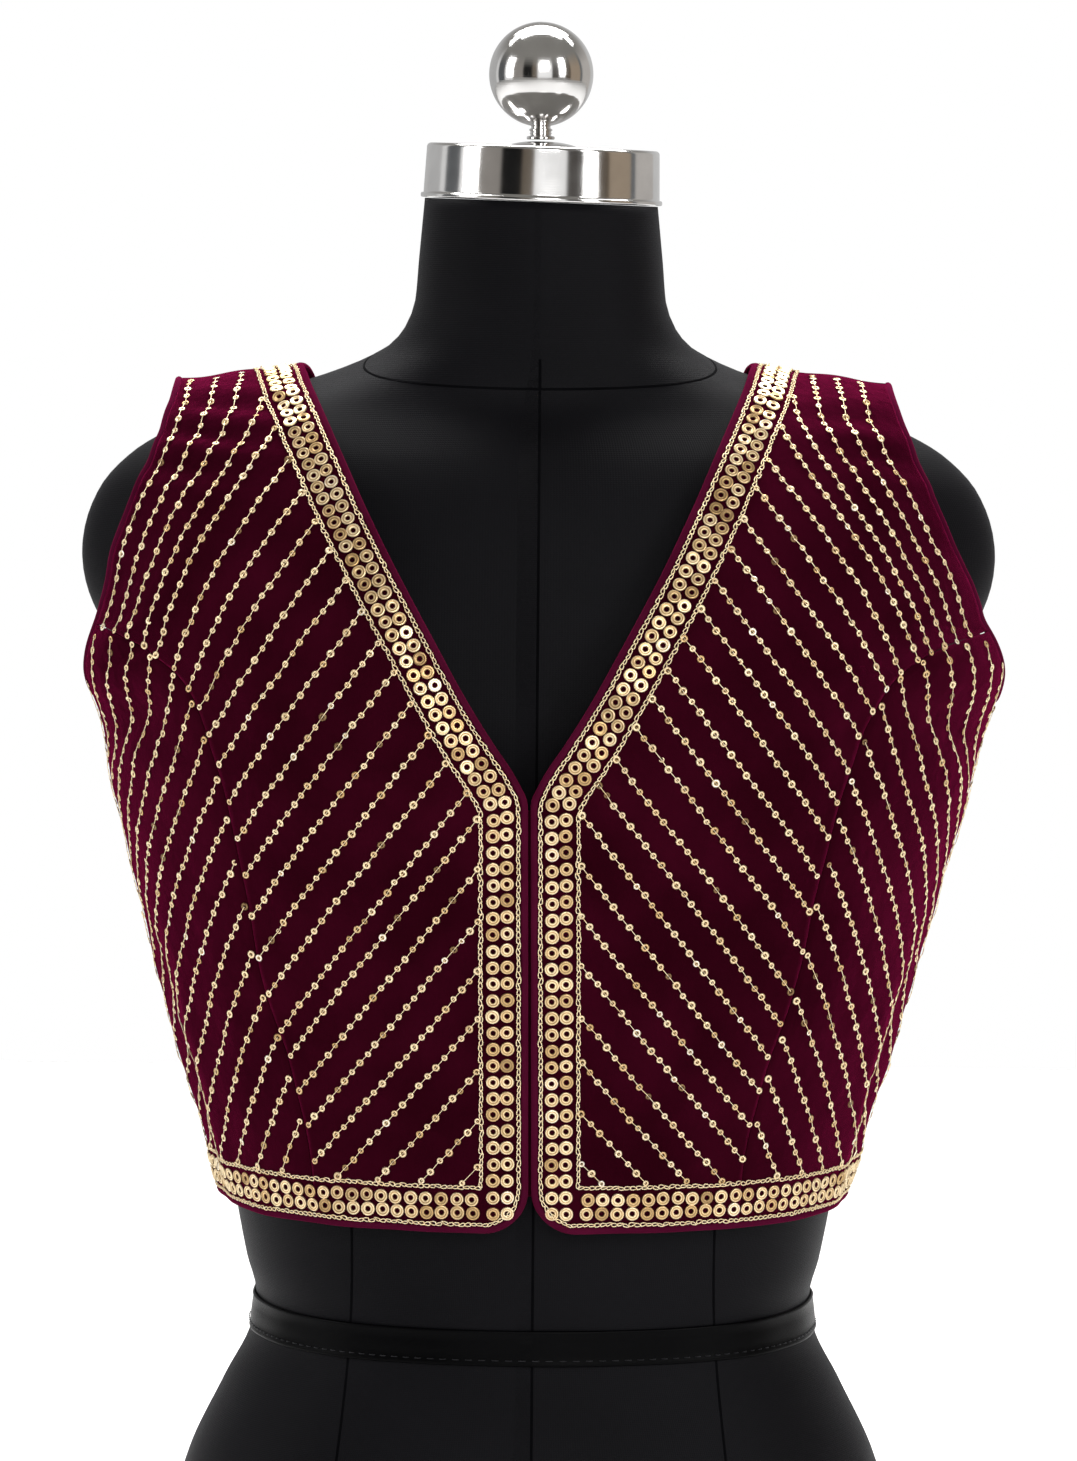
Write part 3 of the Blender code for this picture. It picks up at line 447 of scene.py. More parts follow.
@dataclass(frozen=True)
class GarmentSurface:
    """The surface that every cloth panel lies on. A place is a turn round the body and a climb."""

    hem: float = 0.290
    bust: float = 0.500
    shoulder: float = 0.660
    shoulder_neck_out: float = 0.100
    shoulder_fall: float = 0.130
    bust_out: float = 0.088
    front_fullness: float = 0.11
    back_fullness: float = 0.42
    ripple: float = 0.00034

    def shoulder_rise(self, x: Array) -> Array:
        """How far the shoulder ridge stands above the bust line, this far from the centre plane."""
        beyond = np.maximum(np.abs(x) - self.shoulder_neck_out, -0.02)
        return self.shoulder - self.bust - self.shoulder_fall * beyond

    def climb_for(self, height: Array, out: Array) -> Array:
        """The climb at which the surface has this height, this far out."""
        low = (height - self.hem) / (self.bust - self.hem)
        share = np.clip((height - self.bust) / self.shoulder_rise(out), 0.0, 1.0)
        return np.where(height <= self.bust, low, 1 + np.arcsin(share) / QUARTER_TURN)

    def rings(self, climb: Array) -> tuple[Array, Array, Array, Array]:
        """Reads the sections of the surface.

        Args:
            climb: 0 at the hem, 1 at the bust line, 2 on the shoulder ridge.

        Returns:
            Half width, front depth, back depth and sway at each climb.
        """
        arc = np.clip(climb - 1, 0.0, 1.0) * QUARTER_TURN
        low = self.hem + (self.bust - self.hem) * np.minimum(climb, 1.0)
        height = low + (self.shoulder - self.bust) * np.sin(arc)
        level = np.maximum(np.cos(arc), 0.0)
        swell = np.sin(arc) ** 4
        return (
            smooth_values(CLOTH_RINGS, "half_width", height),
            smooth_values(CLOTH_RINGS, "front", height) * level * (1 + self.front_fullness * swell),
            smooth_values(CLOTH_RINGS, "back", height) * level * (1 + self.back_fullness * swell),
            smooth_values(CLOTH_RINGS, "sway", height),
        )

    def place_for(self, height: Array, out: Array, back: bool = False) -> Array:
        """The turn and climb of a point given by its height and how far out it is."""
        height, out = np.broadcast_arrays(np.asarray(height, float), np.asarray(out, float))
        climb = self.climb_for(height, out)
        turn = turn_for(out / self.rings(climb)[0])
        return np.stack([HALF_TURN - turn if back else turn, climb], axis=-1)

    def outside(self, places: Array) -> Array:
        """Points of the outer surface, with its largest folds and without its creases."""
        turn, climb = places[..., 0], places[..., 1]
        across, ahead = squared(turn)
        half_width, front, back, sway = self.rings(climb)
        x = half_width * across
        y = -np.where(ahead > 0, front, back) * ahead
        arc = np.clip(climb - 1, 0.0, 1.0) * QUARTER_TURN
        z = self.hem + (self.bust - self.hem) * np.minimum(climb, 1.0)
        z = z + self.shoulder_rise(x) * np.sin(arc)
        swell = 0.014 * ahead * bell(np.abs(x) - self.bust_out, 0.052)
        y = y - np.where(ahead > 0, swell * bell(z - self.bust + 0.004, 0.055), 0.0)
        push = fold_depth(FOLDS, turn, z)
        x = x + push * np.sin(turn) + sway * across * across
        return np.stack([x, y - push * np.cos(turn), z], axis=-1)

    def slopes(self, places: Array) -> tuple[Array, Array]:
        """How the outer surface moves with the turn and with the climb."""
        step = SLOPE_STEP
        turn, climb = places[..., 0], places[..., 1]
        low = np.minimum(climb, 2 - step) - step
        high = np.minimum(climb + step, 2.0)
        left = self.outside(np.stack([turn - step, climb], axis=-1))
        right = self.outside(np.stack([turn + step, climb], axis=-1))
        above = self.outside(np.stack([turn, high], axis=-1))
        below = self.outside(np.stack([turn, low], axis=-1))
        return (right - left) / (2 * step), (above - below) / (high - low)[..., None]

    def normals(self, places: Array) -> Array:
        """The outward normals of the outer surface."""
        return unit(np.cross(*self.slopes(places)))

    def crease(self, places: Array, points: Array) -> Array:
        """How far creases and faint ripples push the cloth out at these places."""
        turn, height = wrapped(places[..., 0]), points[..., 2]
        ripple = np.sin(points[..., 0] * 190 + 2.0 * np.sin(height * 60))
        ripple = ripple + 0.8 * np.sin(height * 150 + points[..., 0] * 70 + turn * 9)
        return fold_depth(CREASES, turn, height) + self.ripple * ripple

    def at(self, places: Array, lift: float = 0.0) -> Array:
        """Points above (positive lift) or below the creased outer surface."""
        base = self.outside(places)
        push = self.crease(places, base) + lift
        return base + self.normals(places) * push[..., None]

    def axes(self, places: Array, lift: float) -> tuple[Array, Array]:
        """Finds where small things sit and how the cloth lies there.

        Args:
            places: Where they sit.
            lift: How far above the cloth.

        Returns:
            The points, and the outward normals of the creased cloth.
        """
        step = 0.004
        shift = np.array([step, 0.0]), np.array([0.0, step])
        lowered = np.stack([places[..., 0], np.minimum(places[..., 1], 2 - step)], axis=-1)
        by_turn = self.at(lowered + shift[0]) - self.at(lowered - shift[0])
        by_climb = self.at(lowered + shift[1]) - self.at(lowered - shift[1])
        normals = unit(np.cross(by_turn, by_climb))
        return self.at(places) + normals * lift, normals

    def steps_for(self, places: Array, moves: Array) -> Array:
        """The changes of turn and climb that move places by these vectors."""
        a, b = self.slopes(places)
        aa, ab, bb = (a * a).sum(-1), (a * b).sum(-1), (b * b).sum(-1)
        am, bm = (a * moves).sum(-1), (b * moves).sum(-1)
        spread = aa * bb - ab * ab
        return np.stack([(bb * am - ab * bm) / spread, (aa * bm - ab * am) / spread], axis=-1)

    def walked(self, places: Array) -> Array:
        """Distance walked to each place of a curve on the surface."""
        steps = np.linalg.norm(np.diff(self.outside(places), axis=0), axis=1)
        return np.concatenate([[0.0], np.cumsum(steps)])

    def spaced(self, places: Array, steps: int) -> Array:
        """The same curve, as evenly spaced places."""
        along = self.walked(places)
        at = np.linspace(0, along[-1], steps + 1)
        return np.stack([np.interp(at, along, places[:, k]) for k in range(2)], axis=1)

    def smooth_curve(self, places: Sequence[Array]) -> Array:
        """A smooth curve through a few places, with CURVE_SAMPLES steps between each two."""
        places = np.array(places)
        at = self.walked(places)
        slopes = np.gradient(places, at, axis=0)
        out = [places[0]]
        for i in range(len(places) - 1):
            span = at[i + 1] - at[i]
            for k in range(1, CURVE_SAMPLES + 1):
                share = k / CURVE_SAMPLES
                out.append(hermite(share, span, places[i : i + 2], slopes[i : i + 2]))
        return np.array(out)

    def offset(self, places: Array, distance: float, steps: int = 8) -> Array:
        """Moves an open curve sideways over the cloth.

        Args:
            places: The curve.
            distance: How far, to the right of its way as seen from outside.
            steps: In how many small moves.

        Returns:
            The moved curve, with as many places.
        """
        for _ in range(steps):
            points = self.outside(places)
            along = unit(np.gradient(points, axis=0))
            moves = np.cross(along, self.normals(places)) * (distance / steps)
            moved = places + self.steps_for(places, moves)
            moved[:, 1] = np.minimum(moved[:, 1], 2.0)
            places = self.spaced(moved, len(places) - 1)
        return places

    def inset(self, places: Array, distance: float) -> Array:
        """A closed curve moved sideways, to its left when positive."""
        points = self.outside(places)
        before = unit(points - np.roll(points, 1, axis=0))
        after = unit(np.roll(points, -1, axis=0) - points)
        mitre = np.maximum(np.sqrt((1 + (before * after).sum(-1)) / 2), 0.5)
        moves = np.cross(self.normals(places), unit(before + after)) * (distance / mitre)[:, None]
        moved = places + self.steps_for(places, moves)
        moved[:, 1] = np.minimum(moved[:, 1], 2.0)
        return moved


SURFACE = GarmentSurface()


@dataclass(frozen=True)
class BlouseCut:
    """The blouse's cutting lines on the garment surface, and the fine grids of its panels."""

    opening_half_gap: float = 0.0006
    shift_low: float = -0.0015
    shift_high: float = -0.0045
    right_seam_out: float = 0.0055
    neck_point: float = 0.479
    back_neck: float = 0.545
    armpit: float = 0.514
    shoulder_tip_out: float = 0.1590
    seam_half_gap: float = 0.00025
    shoulder_half_gap: float = 0.0004
    trim: float = 0.0028
    front_columns: int = 42
    side_columns: int = 40
    back_columns: int = 64
    corner_rows: int = 12
    opening_rows: int = 60
    seam_rows: int = 100
    armhole_rows: int = 44
    back_armhole_rows: int = 50
    back_neck_rows: int = 52
    corner_reach: int = 14

    def shift(self, height: Array, side: int) -> Array:
        """How far a front edge stands out, since the opening isn't quite at the centre."""
        share = (height - SURFACE.hem) / (SURFACE.shoulder - SURFACE.hem)
        return side * (self.shift_low + (self.shift_high - self.shift_low) * share)

    def shifted_places(self, points: Sequence[EdgePoint], side: int) -> list[Array]:
        """The places of edge points of one front."""
        return [
            SURFACE.place_for(point.height, point.out + self.shift(point.height, side))
            for point in points
        ]

    def shoulder_place(self, out: float, back: bool = False) -> Array:
        """The place on the shoulder ridge this far out."""
        turn = turn_for(out / SURFACE.rings(np.array(2.0))[0])
        return np.array([HALF_TURN - turn if back else turn, 2.0])

    def neck_place(self, side: int, back: bool = False) -> Array:
        """Where the neck edge crosses this side's shoulder seam."""
        out = SURFACE.shoulder_neck_out + self.shift(SURFACE.shoulder, side)
        return self.shoulder_place(out, back)

    def neck_line(self, side: int) -> Array:
        """A front's neck edge, from the point of the V to the shoulder."""
        return SURFACE.smooth_curve([*self.shifted_places(FRONT_NECK, side), self.neck_place(side)])

    def opening_line(self, side: int, low: float) -> Array:
        """A front's edge beside the opening, from a height up to the point of the V."""
        heights = np.linspace(low, self.neck_point, self.opening_rows + 1)
        return SURFACE.place_for(heights, self.opening_half_gap + self.shift(heights, side))

    def front_edge(self, side: int) -> Array:
        """A front's free edge, from its hem corner up the opening and the V to the shoulder."""
        corner = SURFACE.smooth_curve(self.shifted_places(FRONT_CORNER, side))
        opening = self.opening_line(side, FRONT_CORNER[-1].height)
        rows = self.seam_rows + self.armhole_rows - self.corner_rows - self.opening_rows
        neck = SURFACE.spaced(self.neck_line(side), rows)
        return np.concatenate([SURFACE.spaced(corner, self.corner_rows), opening[1:], neck[1:]])

    def armhole_edge(self) -> tuple[Array, Array, Array]:
        """The armhole edge in three runs: up to the princess seam, under the arm, up the back."""
        front = [SURFACE.place_for(*point) for point in reversed(FRONT_ARMHOLE)]
        armpit = np.array([QUARTER_TURN, float(SURFACE.climb_for(self.armpit, 0.2))])
        back = [SURFACE.place_for(*point, back=True) for point in BACK_ARMHOLE]
        tip = self.shoulder_place(self.shoulder_tip_out)
        back_tip = self.shoulder_place(self.shoulder_tip_out, back=True)
        curve = SURFACE.smooth_curve([tip, *front, armpit, *back, back_tip])
        princess = len(front) * CURVE_SAMPLES
        side = princess + CURVE_SAMPLES
        return (
            SURFACE.spaced(curve[: princess + 1], self.armhole_rows)[::-1],
            SURFACE.spaced(curve[princess : side + 1], self.side_columns),
            SURFACE.spaced(curve[side:], self.back_armhole_rows),
        )

    def princess_seam(self, side: int) -> Array:
        """This side's princess seam, which stands further out on the right below the armhole."""
        armhole = PRINCESS_SEAM[-1].out
        places = []
        for point in PRINCESS_SEAM:
            extra = self.right_seam_out * min(1.0, (armhole - point.out) / 0.03) if side < 0 else 0
            places.append(SURFACE.place_for(point.height, point.out + extra))
        return SURFACE.spaced(SURFACE.smooth_curve(places), self.seam_rows)

    def side_seam(self) -> Array:
        """The side seam, from the hem to the armpit."""
        top = float(SURFACE.climb_for(self.armpit, 0.2))
        return line((QUARTER_TURN, 0.0), (QUARTER_TURN, top), self.seam_rows)

    def back_neck_line(self, side: int) -> Array:
        """Half of the back's neck edge, from centre back to this side's shoulder."""
        low = np.array([HALF_TURN, float(SURFACE.climb_for(self.back_neck, 0.0))])
        scale = 1 + self.shift(SURFACE.shoulder, side) / SURFACE.shoulder_neck_out
        neck = [SURFACE.place_for(p.height, p.out * scale, back=True) for p in BACK_NECK]
        mirrored = np.array([2 * HALF_TURN - neck[0][0], neck[0][1]])
        curve = SURFACE.smooth_curve([mirrored, low, *neck, self.neck_place(side, back=True)])
        return SURFACE.spaced(curve[CURVE_SAMPLES:], self.back_neck_rows)

    def front_patch(self, side: int) -> Array:
        """One centre front, from the opening to the princess seam and the armhole above it."""
        inner = self.front_edge(side)
        outer = np.concatenate([self.princess_seam(side), self.armhole_edge()[0][1:]])
        bottom = line(inner[0], outer[0], self.front_columns)
        return patch(inner, outer, bottom, line(inner[-1], outer[-1], self.front_columns))

    def side_patch(self, side: int) -> Array:
        """One side front, from the princess seam to the side seam."""
        inner, outer = self.princess_seam(side), self.side_seam()
        bottom = line(inner[0], outer[0], self.side_columns)
        return patch(inner, outer, bottom, self.armhole_edge()[1])

    def back_patch(self, side: int) -> Array:
        """Half of the back, from the side seam to centre back, and up to the shoulder seam."""
        outer = np.concatenate([self.side_seam(), self.armhole_edge()[2][1:]])
        neck = self.back_neck_line(side)
        rows = self.seam_rows + self.back_armhole_rows - self.back_neck_rows
        inner = np.concatenate([line((HALF_TURN, 0.0), neck[0], rows), neck[1:]])
        bottom = line(outer[0], inner[0], self.back_columns)
        return patch(outer, inner, bottom, line(outer[-1], inner[-1], self.back_columns))

    def edge_loop(self) -> Array:
        """The whole outer edge: down the left front, round the hem, up the right, and the neck."""
        fronts = {side: self.front_edge(side) for side in (1, -1)}
        seam = {side: self.princess_seam(side)[0] for side in (1, -1)}
        front_hem = {s: line(fronts[s][0], seam[s], self.front_columns) for s in (1, -1)}
        side_hem = {s: line(seam[s], (QUARTER_TURN, 0.0), self.side_columns) for s in (1, -1)}
        back_hem = line((QUARTER_TURN, 0.0), (HALF_TURN, 0.0), self.back_columns)
        necks = {side: self.back_neck_line(side) for side in (1, -1)}
        runs = [
            fronts[1][::-1],
            front_hem[1],
            side_hem[1],
            back_hem,
            sided(back_hem, -1)[::-1],
            sided(side_hem[-1], -1)[::-1],
            sided(front_hem[-1], -1)[::-1],
            sided(fronts[-1], -1),
            sided(necks[-1], -1)[::-1],
            necks[1],
        ]
        return np.concatenate([run[:-1] for run in runs])

    def armhole_loop(self, side: int) -> Array:
        """One whole armhole edge, from the shoulder down the front and up the back."""
        front, under, back = self.armhole_edge()
        return sided(np.concatenate([front[::-1][:-1], under[:-1], back[:-1]]), side)

    def borders(self, rows: int, columns: int) -> tuple:
        """The cells along a grid's left, right, bottom and top, and the step inwards from each."""
        return (
            ([(j, 0) for j in range(rows)], (0, 1)),
            ([(j, columns - 1) for j in range(rows)], (0, -1)),
            ([(0, i) for i in range(columns)], (1, 0)),
            ([(rows - 1, i) for i in range(columns)], (-1, 0)),
        )

    def drawn_in(self, grid: Array, *distances: Array) -> Array:
        """Moves a patch's left, right, bottom and top borders in.

        Args:
            grid: The patch.
            distances: How far each border moves, or each step of it.

        Returns:
            The smaller patch.
        """
        rows, columns = grid.shape[:2]
        points, normals = SURFACE.outside(grid), SURFACE.normals(grid)
        sides = self.borders(rows, columns)
        pulls = []
        for (cells, inward), distance in zip(sides, distances):
            far = np.broadcast_to(distance, len(cells) - 1)
            own: dict = {cell: [] for cell in cells}
            for k, (start, end) in enumerate(zip(cells, cells[1:])):
                tangent = points[end] - points[start]
                for cell in (start, end):
                    way = unit(np.cross(normals[cell], tangent))
                    inside = points[cell[0] + inward[0], cell[1] + inward[1]] - points[cell]
                    own[cell].append((way if way @ inside > 0 else -way, far[k]))
            pulls.append(own)
        steps = []
        for (cells, _), own in zip(sides, pulls):
            moves = np.array([answer(own[cell]) for cell in cells])
            for first, step in ((0, 1), (len(cells) - 1, -1)):
                corner = answer([pull for side in pulls for pull in side.get(cells[first], [])])
                along = unit(points[cells[first + step]] - points[cells[first]])
                slide = (corner - moves[first]) @ along
                moves[first] = corner
                for k in range(1, min(self.corner_reach, len(cells) - 1)):
                    here = first + step * k
                    tangent = unit(points[cells[here + step]] - points[cells[here - step]])
                    moves[here] = moves[here] + tangent * slide * (1 - k / self.corner_reach)
            border = np.array([grid[cell] for cell in cells])
            steps.append(SURFACE.steps_for(border, moves))
        corners = (steps[0][0], steps[1][0], steps[0][-1], steps[1][-1])
        steps[2][0], steps[2][-1], steps[3][0], steps[3][-1] = corners
        moved = grid + patch(*steps)
        moved[..., 1] = np.minimum(moved[..., 1], 2.0)
        return moved

    def front_grid(self, side: int) -> Array:
        """The centre front's cloth, up to its seams and piping."""
        steps = np.arange(self.seam_rows + self.armhole_rows)
        outer = np.where(steps < self.seam_rows, self.seam_half_gap, self.trim)
        drawn = (self.trim, outer, self.trim, self.shoulder_half_gap)
        return self.drawn_in(self.front_patch(side), *drawn)

    def side_grid(self, side: int) -> Array:
        """The side front's cloth, up to its seams and piping."""
        drawn = (self.seam_half_gap, self.seam_half_gap, self.trim, self.trim)
        return self.drawn_in(self.side_patch(side), *drawn)

    def back_grid(self, side: int) -> Array:
        """Half of the back's cloth, up to its seams and piping."""
        steps = np.arange(self.seam_rows + self.back_armhole_rows)
        outer = np.where(steps < self.seam_rows, self.seam_half_gap, self.trim)
        plain = len(steps) - self.back_neck_rows
        inner = np.where(steps < plain, 0.0, self.trim)
        drawn = (outer, inner, self.trim, self.shoulder_half_gap)
        grid = self.drawn_in(self.back_patch(side), *drawn)
        grid[: plain + 1, -1, 0] = HALF_TURN
        return grid


CUT = BlouseCut()


class NodeDesk:
    """Lays out the nodes of one material."""

    def __init__(self, name: str) -> None:
        """Starts a material with its Principled shader."""
        self.material = bpy.data.materials.new(name)
        self.material.use_nodes = True
        self.tree = self.material.node_tree
        self.shader = self.tree.nodes["Principled BSDF"]

    def add(self, kind: str, inputs: Optional[dict] = None, **settings: object) -> bpy.types.Node:
        """Adds a node.

        Args:
            kind: The node's type.
            inputs: Values for its sockets, by name.
            settings: Values for its own properties.

        Returns:
            The node.
        """
        node = self.tree.nodes.new(kind)
        for key, value in settings.items():
            setattr(node, key, value)
        for key, value in (inputs or {}).items():
            node.inputs[key].default_value = value
        return node

    def link(self, source: bpy.types.NodeSocket, target: bpy.types.NodeSocket) -> None:
        """Joins two sockets."""
        self.tree.links.new(source, target)

    def set(self, **values: object) -> None:
        """Sets the shader's own sockets. An underscore stands for a blank."""
        for key, value in values.items():
            self.shader.inputs[key.replace("_", " ")].default_value = value

    def noise(self, vector: bpy.types.NodeSocket, scale: float, detail: float = 3.0) -> object:
        """Adds cloudy noise over these coordinates and gives its factor."""
        node = self.add("ShaderNodeTexNoise", {"Scale": scale, "Detail": detail})
        self.link(vector, node.inputs["Vector"])
        return node.outputs["Fac"]

    def wave(self, vector: bpy.types.NodeSocket, way: str, period: float) -> object:
        """Adds straight bands this many metres apart and gives their factor."""
        scale = 2 * math.pi / (20 * period)
        inputs = {"Scale": scale, "Distortion": 0.35, "Detail": 1.0, "Detail Scale": 0.6}
        node = self.add("ShaderNodeTexWave", inputs, bands_direction=way)
        self.link(vector, node.inputs["Vector"])
        return node.outputs["Fac"]

    def math(self, operation: str, a: object, b: object) -> object:
        """Adds a sum of two sockets or numbers and gives its value."""
        node = self.add("ShaderNodeMath", operation=operation)
        for socket, value in zip(node.inputs, (a, b)):
            if isinstance(value, (int, float)):
                socket.default_value = value
            else:
                self.link(value, socket)
        return node.outputs[0]

    def ramp(self, factor: object, stops: Sequence[tuple[float, Colour]]) -> object:
        """Adds a colour ramp and gives its colour."""
        node = self.add("ShaderNodeValToRGB")
        self.link(factor, node.inputs["Fac"])
        elements = node.color_ramp.elements
        while len(elements) < len(stops):
            elements.new(0.5)
        for element, (place, colour) in zip(elements, stops):
            element.position = place
            element.color = (*colour, 1.0)
        return node.outputs["Color"]

    def spread(self, factor: object, low: float, high: float) -> object:
        """Maps a factor between 0 and 1 onto a range and gives the value."""
        node = self.add("ShaderNodeMapRange", {"To Min": low, "To Max": high})
        self.link(factor, node.inputs["Value"])
        return node.outputs["Result"]

    def bump(self, height: object, distance: float, strength: float = 1.0) -> None:
        """Raises the surface by a height between 0 and 1 times this distance."""
        node = self.add("ShaderNodeBump", {"Strength": strength, "Distance": distance})
        self.link(height, node.inputs["Height"])
        self.link(node.outputs["Normal"], self.shader.inputs["Normal"])

    def paint(self, colour: object) -> None:
        """Feeds the shader's colour."""
        self.link(colour, self.shader.inputs["Base Color"])

    def roughen(self, value: object) -> None:
        """Feeds the shader's roughness."""
        self.link(value, self.shader.inputs["Roughness"])

    def uv(self) -> object:
        """Gives the mesh's own flat coordinates, in metres."""
        return self.add("ShaderNodeTexCoord").outputs["UV"]

    def place(self) -> object:
        """Gives the place in the part's own frame, in metres."""
        return self.add("ShaderNodeTexCoord").outputs["Object"]


class RoomDesk(NodeDesk):
    """Lays out the nodes of a world."""

    def __init__(self, name: str) -> None:
        """Starts a world with its background."""
        self.world = bpy.data.worlds.new(name)
        self.world.use_nodes = True
        self.tree = self.world.node_tree
        self.shader = self.tree.nodes["Background"]


@dataclass(frozen=True)
class WovenCloth:
    """A woven cloth: two thread directions, soft patches of colour and a nap."""

    name: str
    deep: Colour
    bright: Colour
    roughness: float
    sheen: float
    sheen_colour: Colour
    period: float
    relief: float
    patch_scale: float = 24.0
    specular: float = 0.15
    specular_tint: Colour = (1.0, 1.0, 1.0)
    pucker: float = 0.0

    def material(self) -> bpy.types.Material:
        """Makes the cloth's material."""
        desk = NodeDesk(self.name)
        uv, place = desk.uv(), desk.place()
        weave = desk.math(
            "MULTIPLY", desk.wave(uv, "X", self.period), desk.wave(uv, "Y", self.period)
        )
        clouds = desk.noise(place, self.patch_scale, 4.0)
        slubs = desk.noise(uv, 900.0, 2.0)
        shade = desk.math("ADD", desk.math("MULTIPLY", clouds, 0.75), desk.math("MULTIPLY", weave, 0.3))
        desk.paint(desk.ramp(shade, ((0.30, self.deep), (0.72, self.bright))))
        rough = desk.spread(slubs, self.roughness - 0.08, self.roughness + 0.08)
        desk.roughen(rough)
        strands = desk.math("ADD", weave, desk.math("MULTIPLY", slubs, 0.8))
        threads = desk.math("MULTIPLY", strands, self.relief)
        drags = desk.math("MULTIPLY", desk.noise(place, 95.0, 2.0), self.pucker)
        desk.bump(desk.math("ADD", threads, drags), 1.0)
        desk.set(
            Sheen_Weight=self.sheen,
            Sheen_Roughness=0.35,
            Sheen_Tint=(*self.sheen_colour, 1.0),
            Specular_IOR_Level=self.specular,
            Specular_Tint=(*self.specular_tint, 1.0),
        )
        return desk.material


@dataclass(frozen=True)
class GoldMetal:
    """Pale gold plate whose tone changes from piece to piece. Its white stop is a painted glint, and its
    dull and deep stops also carry the painted shade on the low rings of each piece.
    """

    name: str
    dull: Colour = (0.20, 0.12, 0.055)
    deep: Colour = (0.66, 0.43, 0.19)
    pale: Colour = (0.96, 0.78, 0.50)
    # White stop: a painted glint.
    white: Colour = (0.98, 0.96, 0.93)
    roughness: float = 0.30
    metallic: float = 0.72

    def material(self) -> bpy.types.Material:
        """Makes the metal's material from each piece's tint, which carries painted glints and painted
        shade as well as the plate's own tone.
        """
        desk = NodeDesk(self.name)
        tint = desk.add("ShaderNodeAttribute", attribute_name="tint").outputs["Fac"]
        place = desk.place()
        grain = desk.noise(place, 2600.0, 2.0)
        stops = (
            (0.0, self.dull),
            (0.30, self.deep),
            (0.60, self.pale),
            (0.88, self.pale),
            (0.97, self.white),
        )
        desk.paint(desk.ramp(tint, stops))
        rough = desk.spread(grain, self.roughness - 0.08, self.roughness + 0.10)
        desk.roughen(rough)
        desk.bump(grain, 0.00004)
        desk.set(Metallic=self.metallic)
        return desk.material


@dataclass(frozen=True)
class GoldThread:
    """Twisted gilt thread."""

    name: str
    deep: Colour = (0.78, 0.54, 0.25)
    bright: Colour = (1.0, 0.88, 0.62)

    def material(self) -> bpy.types.Material:
        """Makes the thread's material, with the twist of its strands: the raised twist is painted bright,
        a painted highlight, and its grooves deeper, painted shade, over a random grain.
        """
        desk = NodeDesk(self.name)
        place = desk.place()
        twist = desk.wave(place, "DIAGONAL", 0.0006)
        grain = desk.noise(place, 1500.0, 2.0)
        shade = desk.math("ADD", desk.math("MULTIPLY", twist, 0.5), desk.math("MULTIPLY", grain, 0.5))
        # The colour follows the twist: painted highlight on the raised strands and painted shade between
        # them, mixed with random grain.
        desk.paint(desk.ramp(shade, ((0.2, self.deep), (0.65, self.bright))))
        desk.roughen(desk.spread(grain, 0.30, 0.5))
        desk.bump(twist, 0.0001)
        desk.set(Metallic=0.5)
        return desk.material


@dataclass(frozen=True)
class PolishedMetal:
    """Bright chrome with faint turning marks and smears."""

    name: str
    colour: Colour = (0.80, 0.79, 0.78)
    roughness: float = 0.10

    def material(self) -> bpy.types.Material:
        """Makes the metal's material."""
        desk = NodeDesk(self.name)
        place = desk.place()
        smears = desk.noise(place, 55.0, 5.0)
        rings = desk.wave(place, "Z", 0.0011)
        tones = ((0.3, tuple(0.86 * c for c in self.colour)), (0.7, self.colour))
        desk.paint(desk.ramp(smears, tones))
        desk.roughen(desk.spread(smears, self.roughness - 0.04, self.roughness + 0.07))
        desk.bump(rings, 0.00001, 0.4)
        desk.set(Metallic=1.0)
        return desk.material


@dataclass(frozen=True)
class PaperFloor:
    """Matt pale paper."""

    name: str = "pale_paper"
    colour: Colour = (0.86, 0.86, 0.86)

    def material(self) -> bpy.types.Material:
        """Makes the paper's material."""
        desk = NodeDesk(self.name)
        fibre = desk.noise(desk.place(), 60.0, 5.0)
        tones = ((0.2, tuple(0.98 * c for c in self.colour)), (0.8, self.colour))
        desk.paint(desk.ramp(fibre, tones))
        desk.set(Roughness=0.9)
        return desk.material


class Slot(Enum):
    """The record's material slots."""

    CLOTH = "cloth"
    PIPING = "piping"
    FORM_COVER = "form_cover"
    RIBBON = "ribbon"
    CHROME = "chrome"


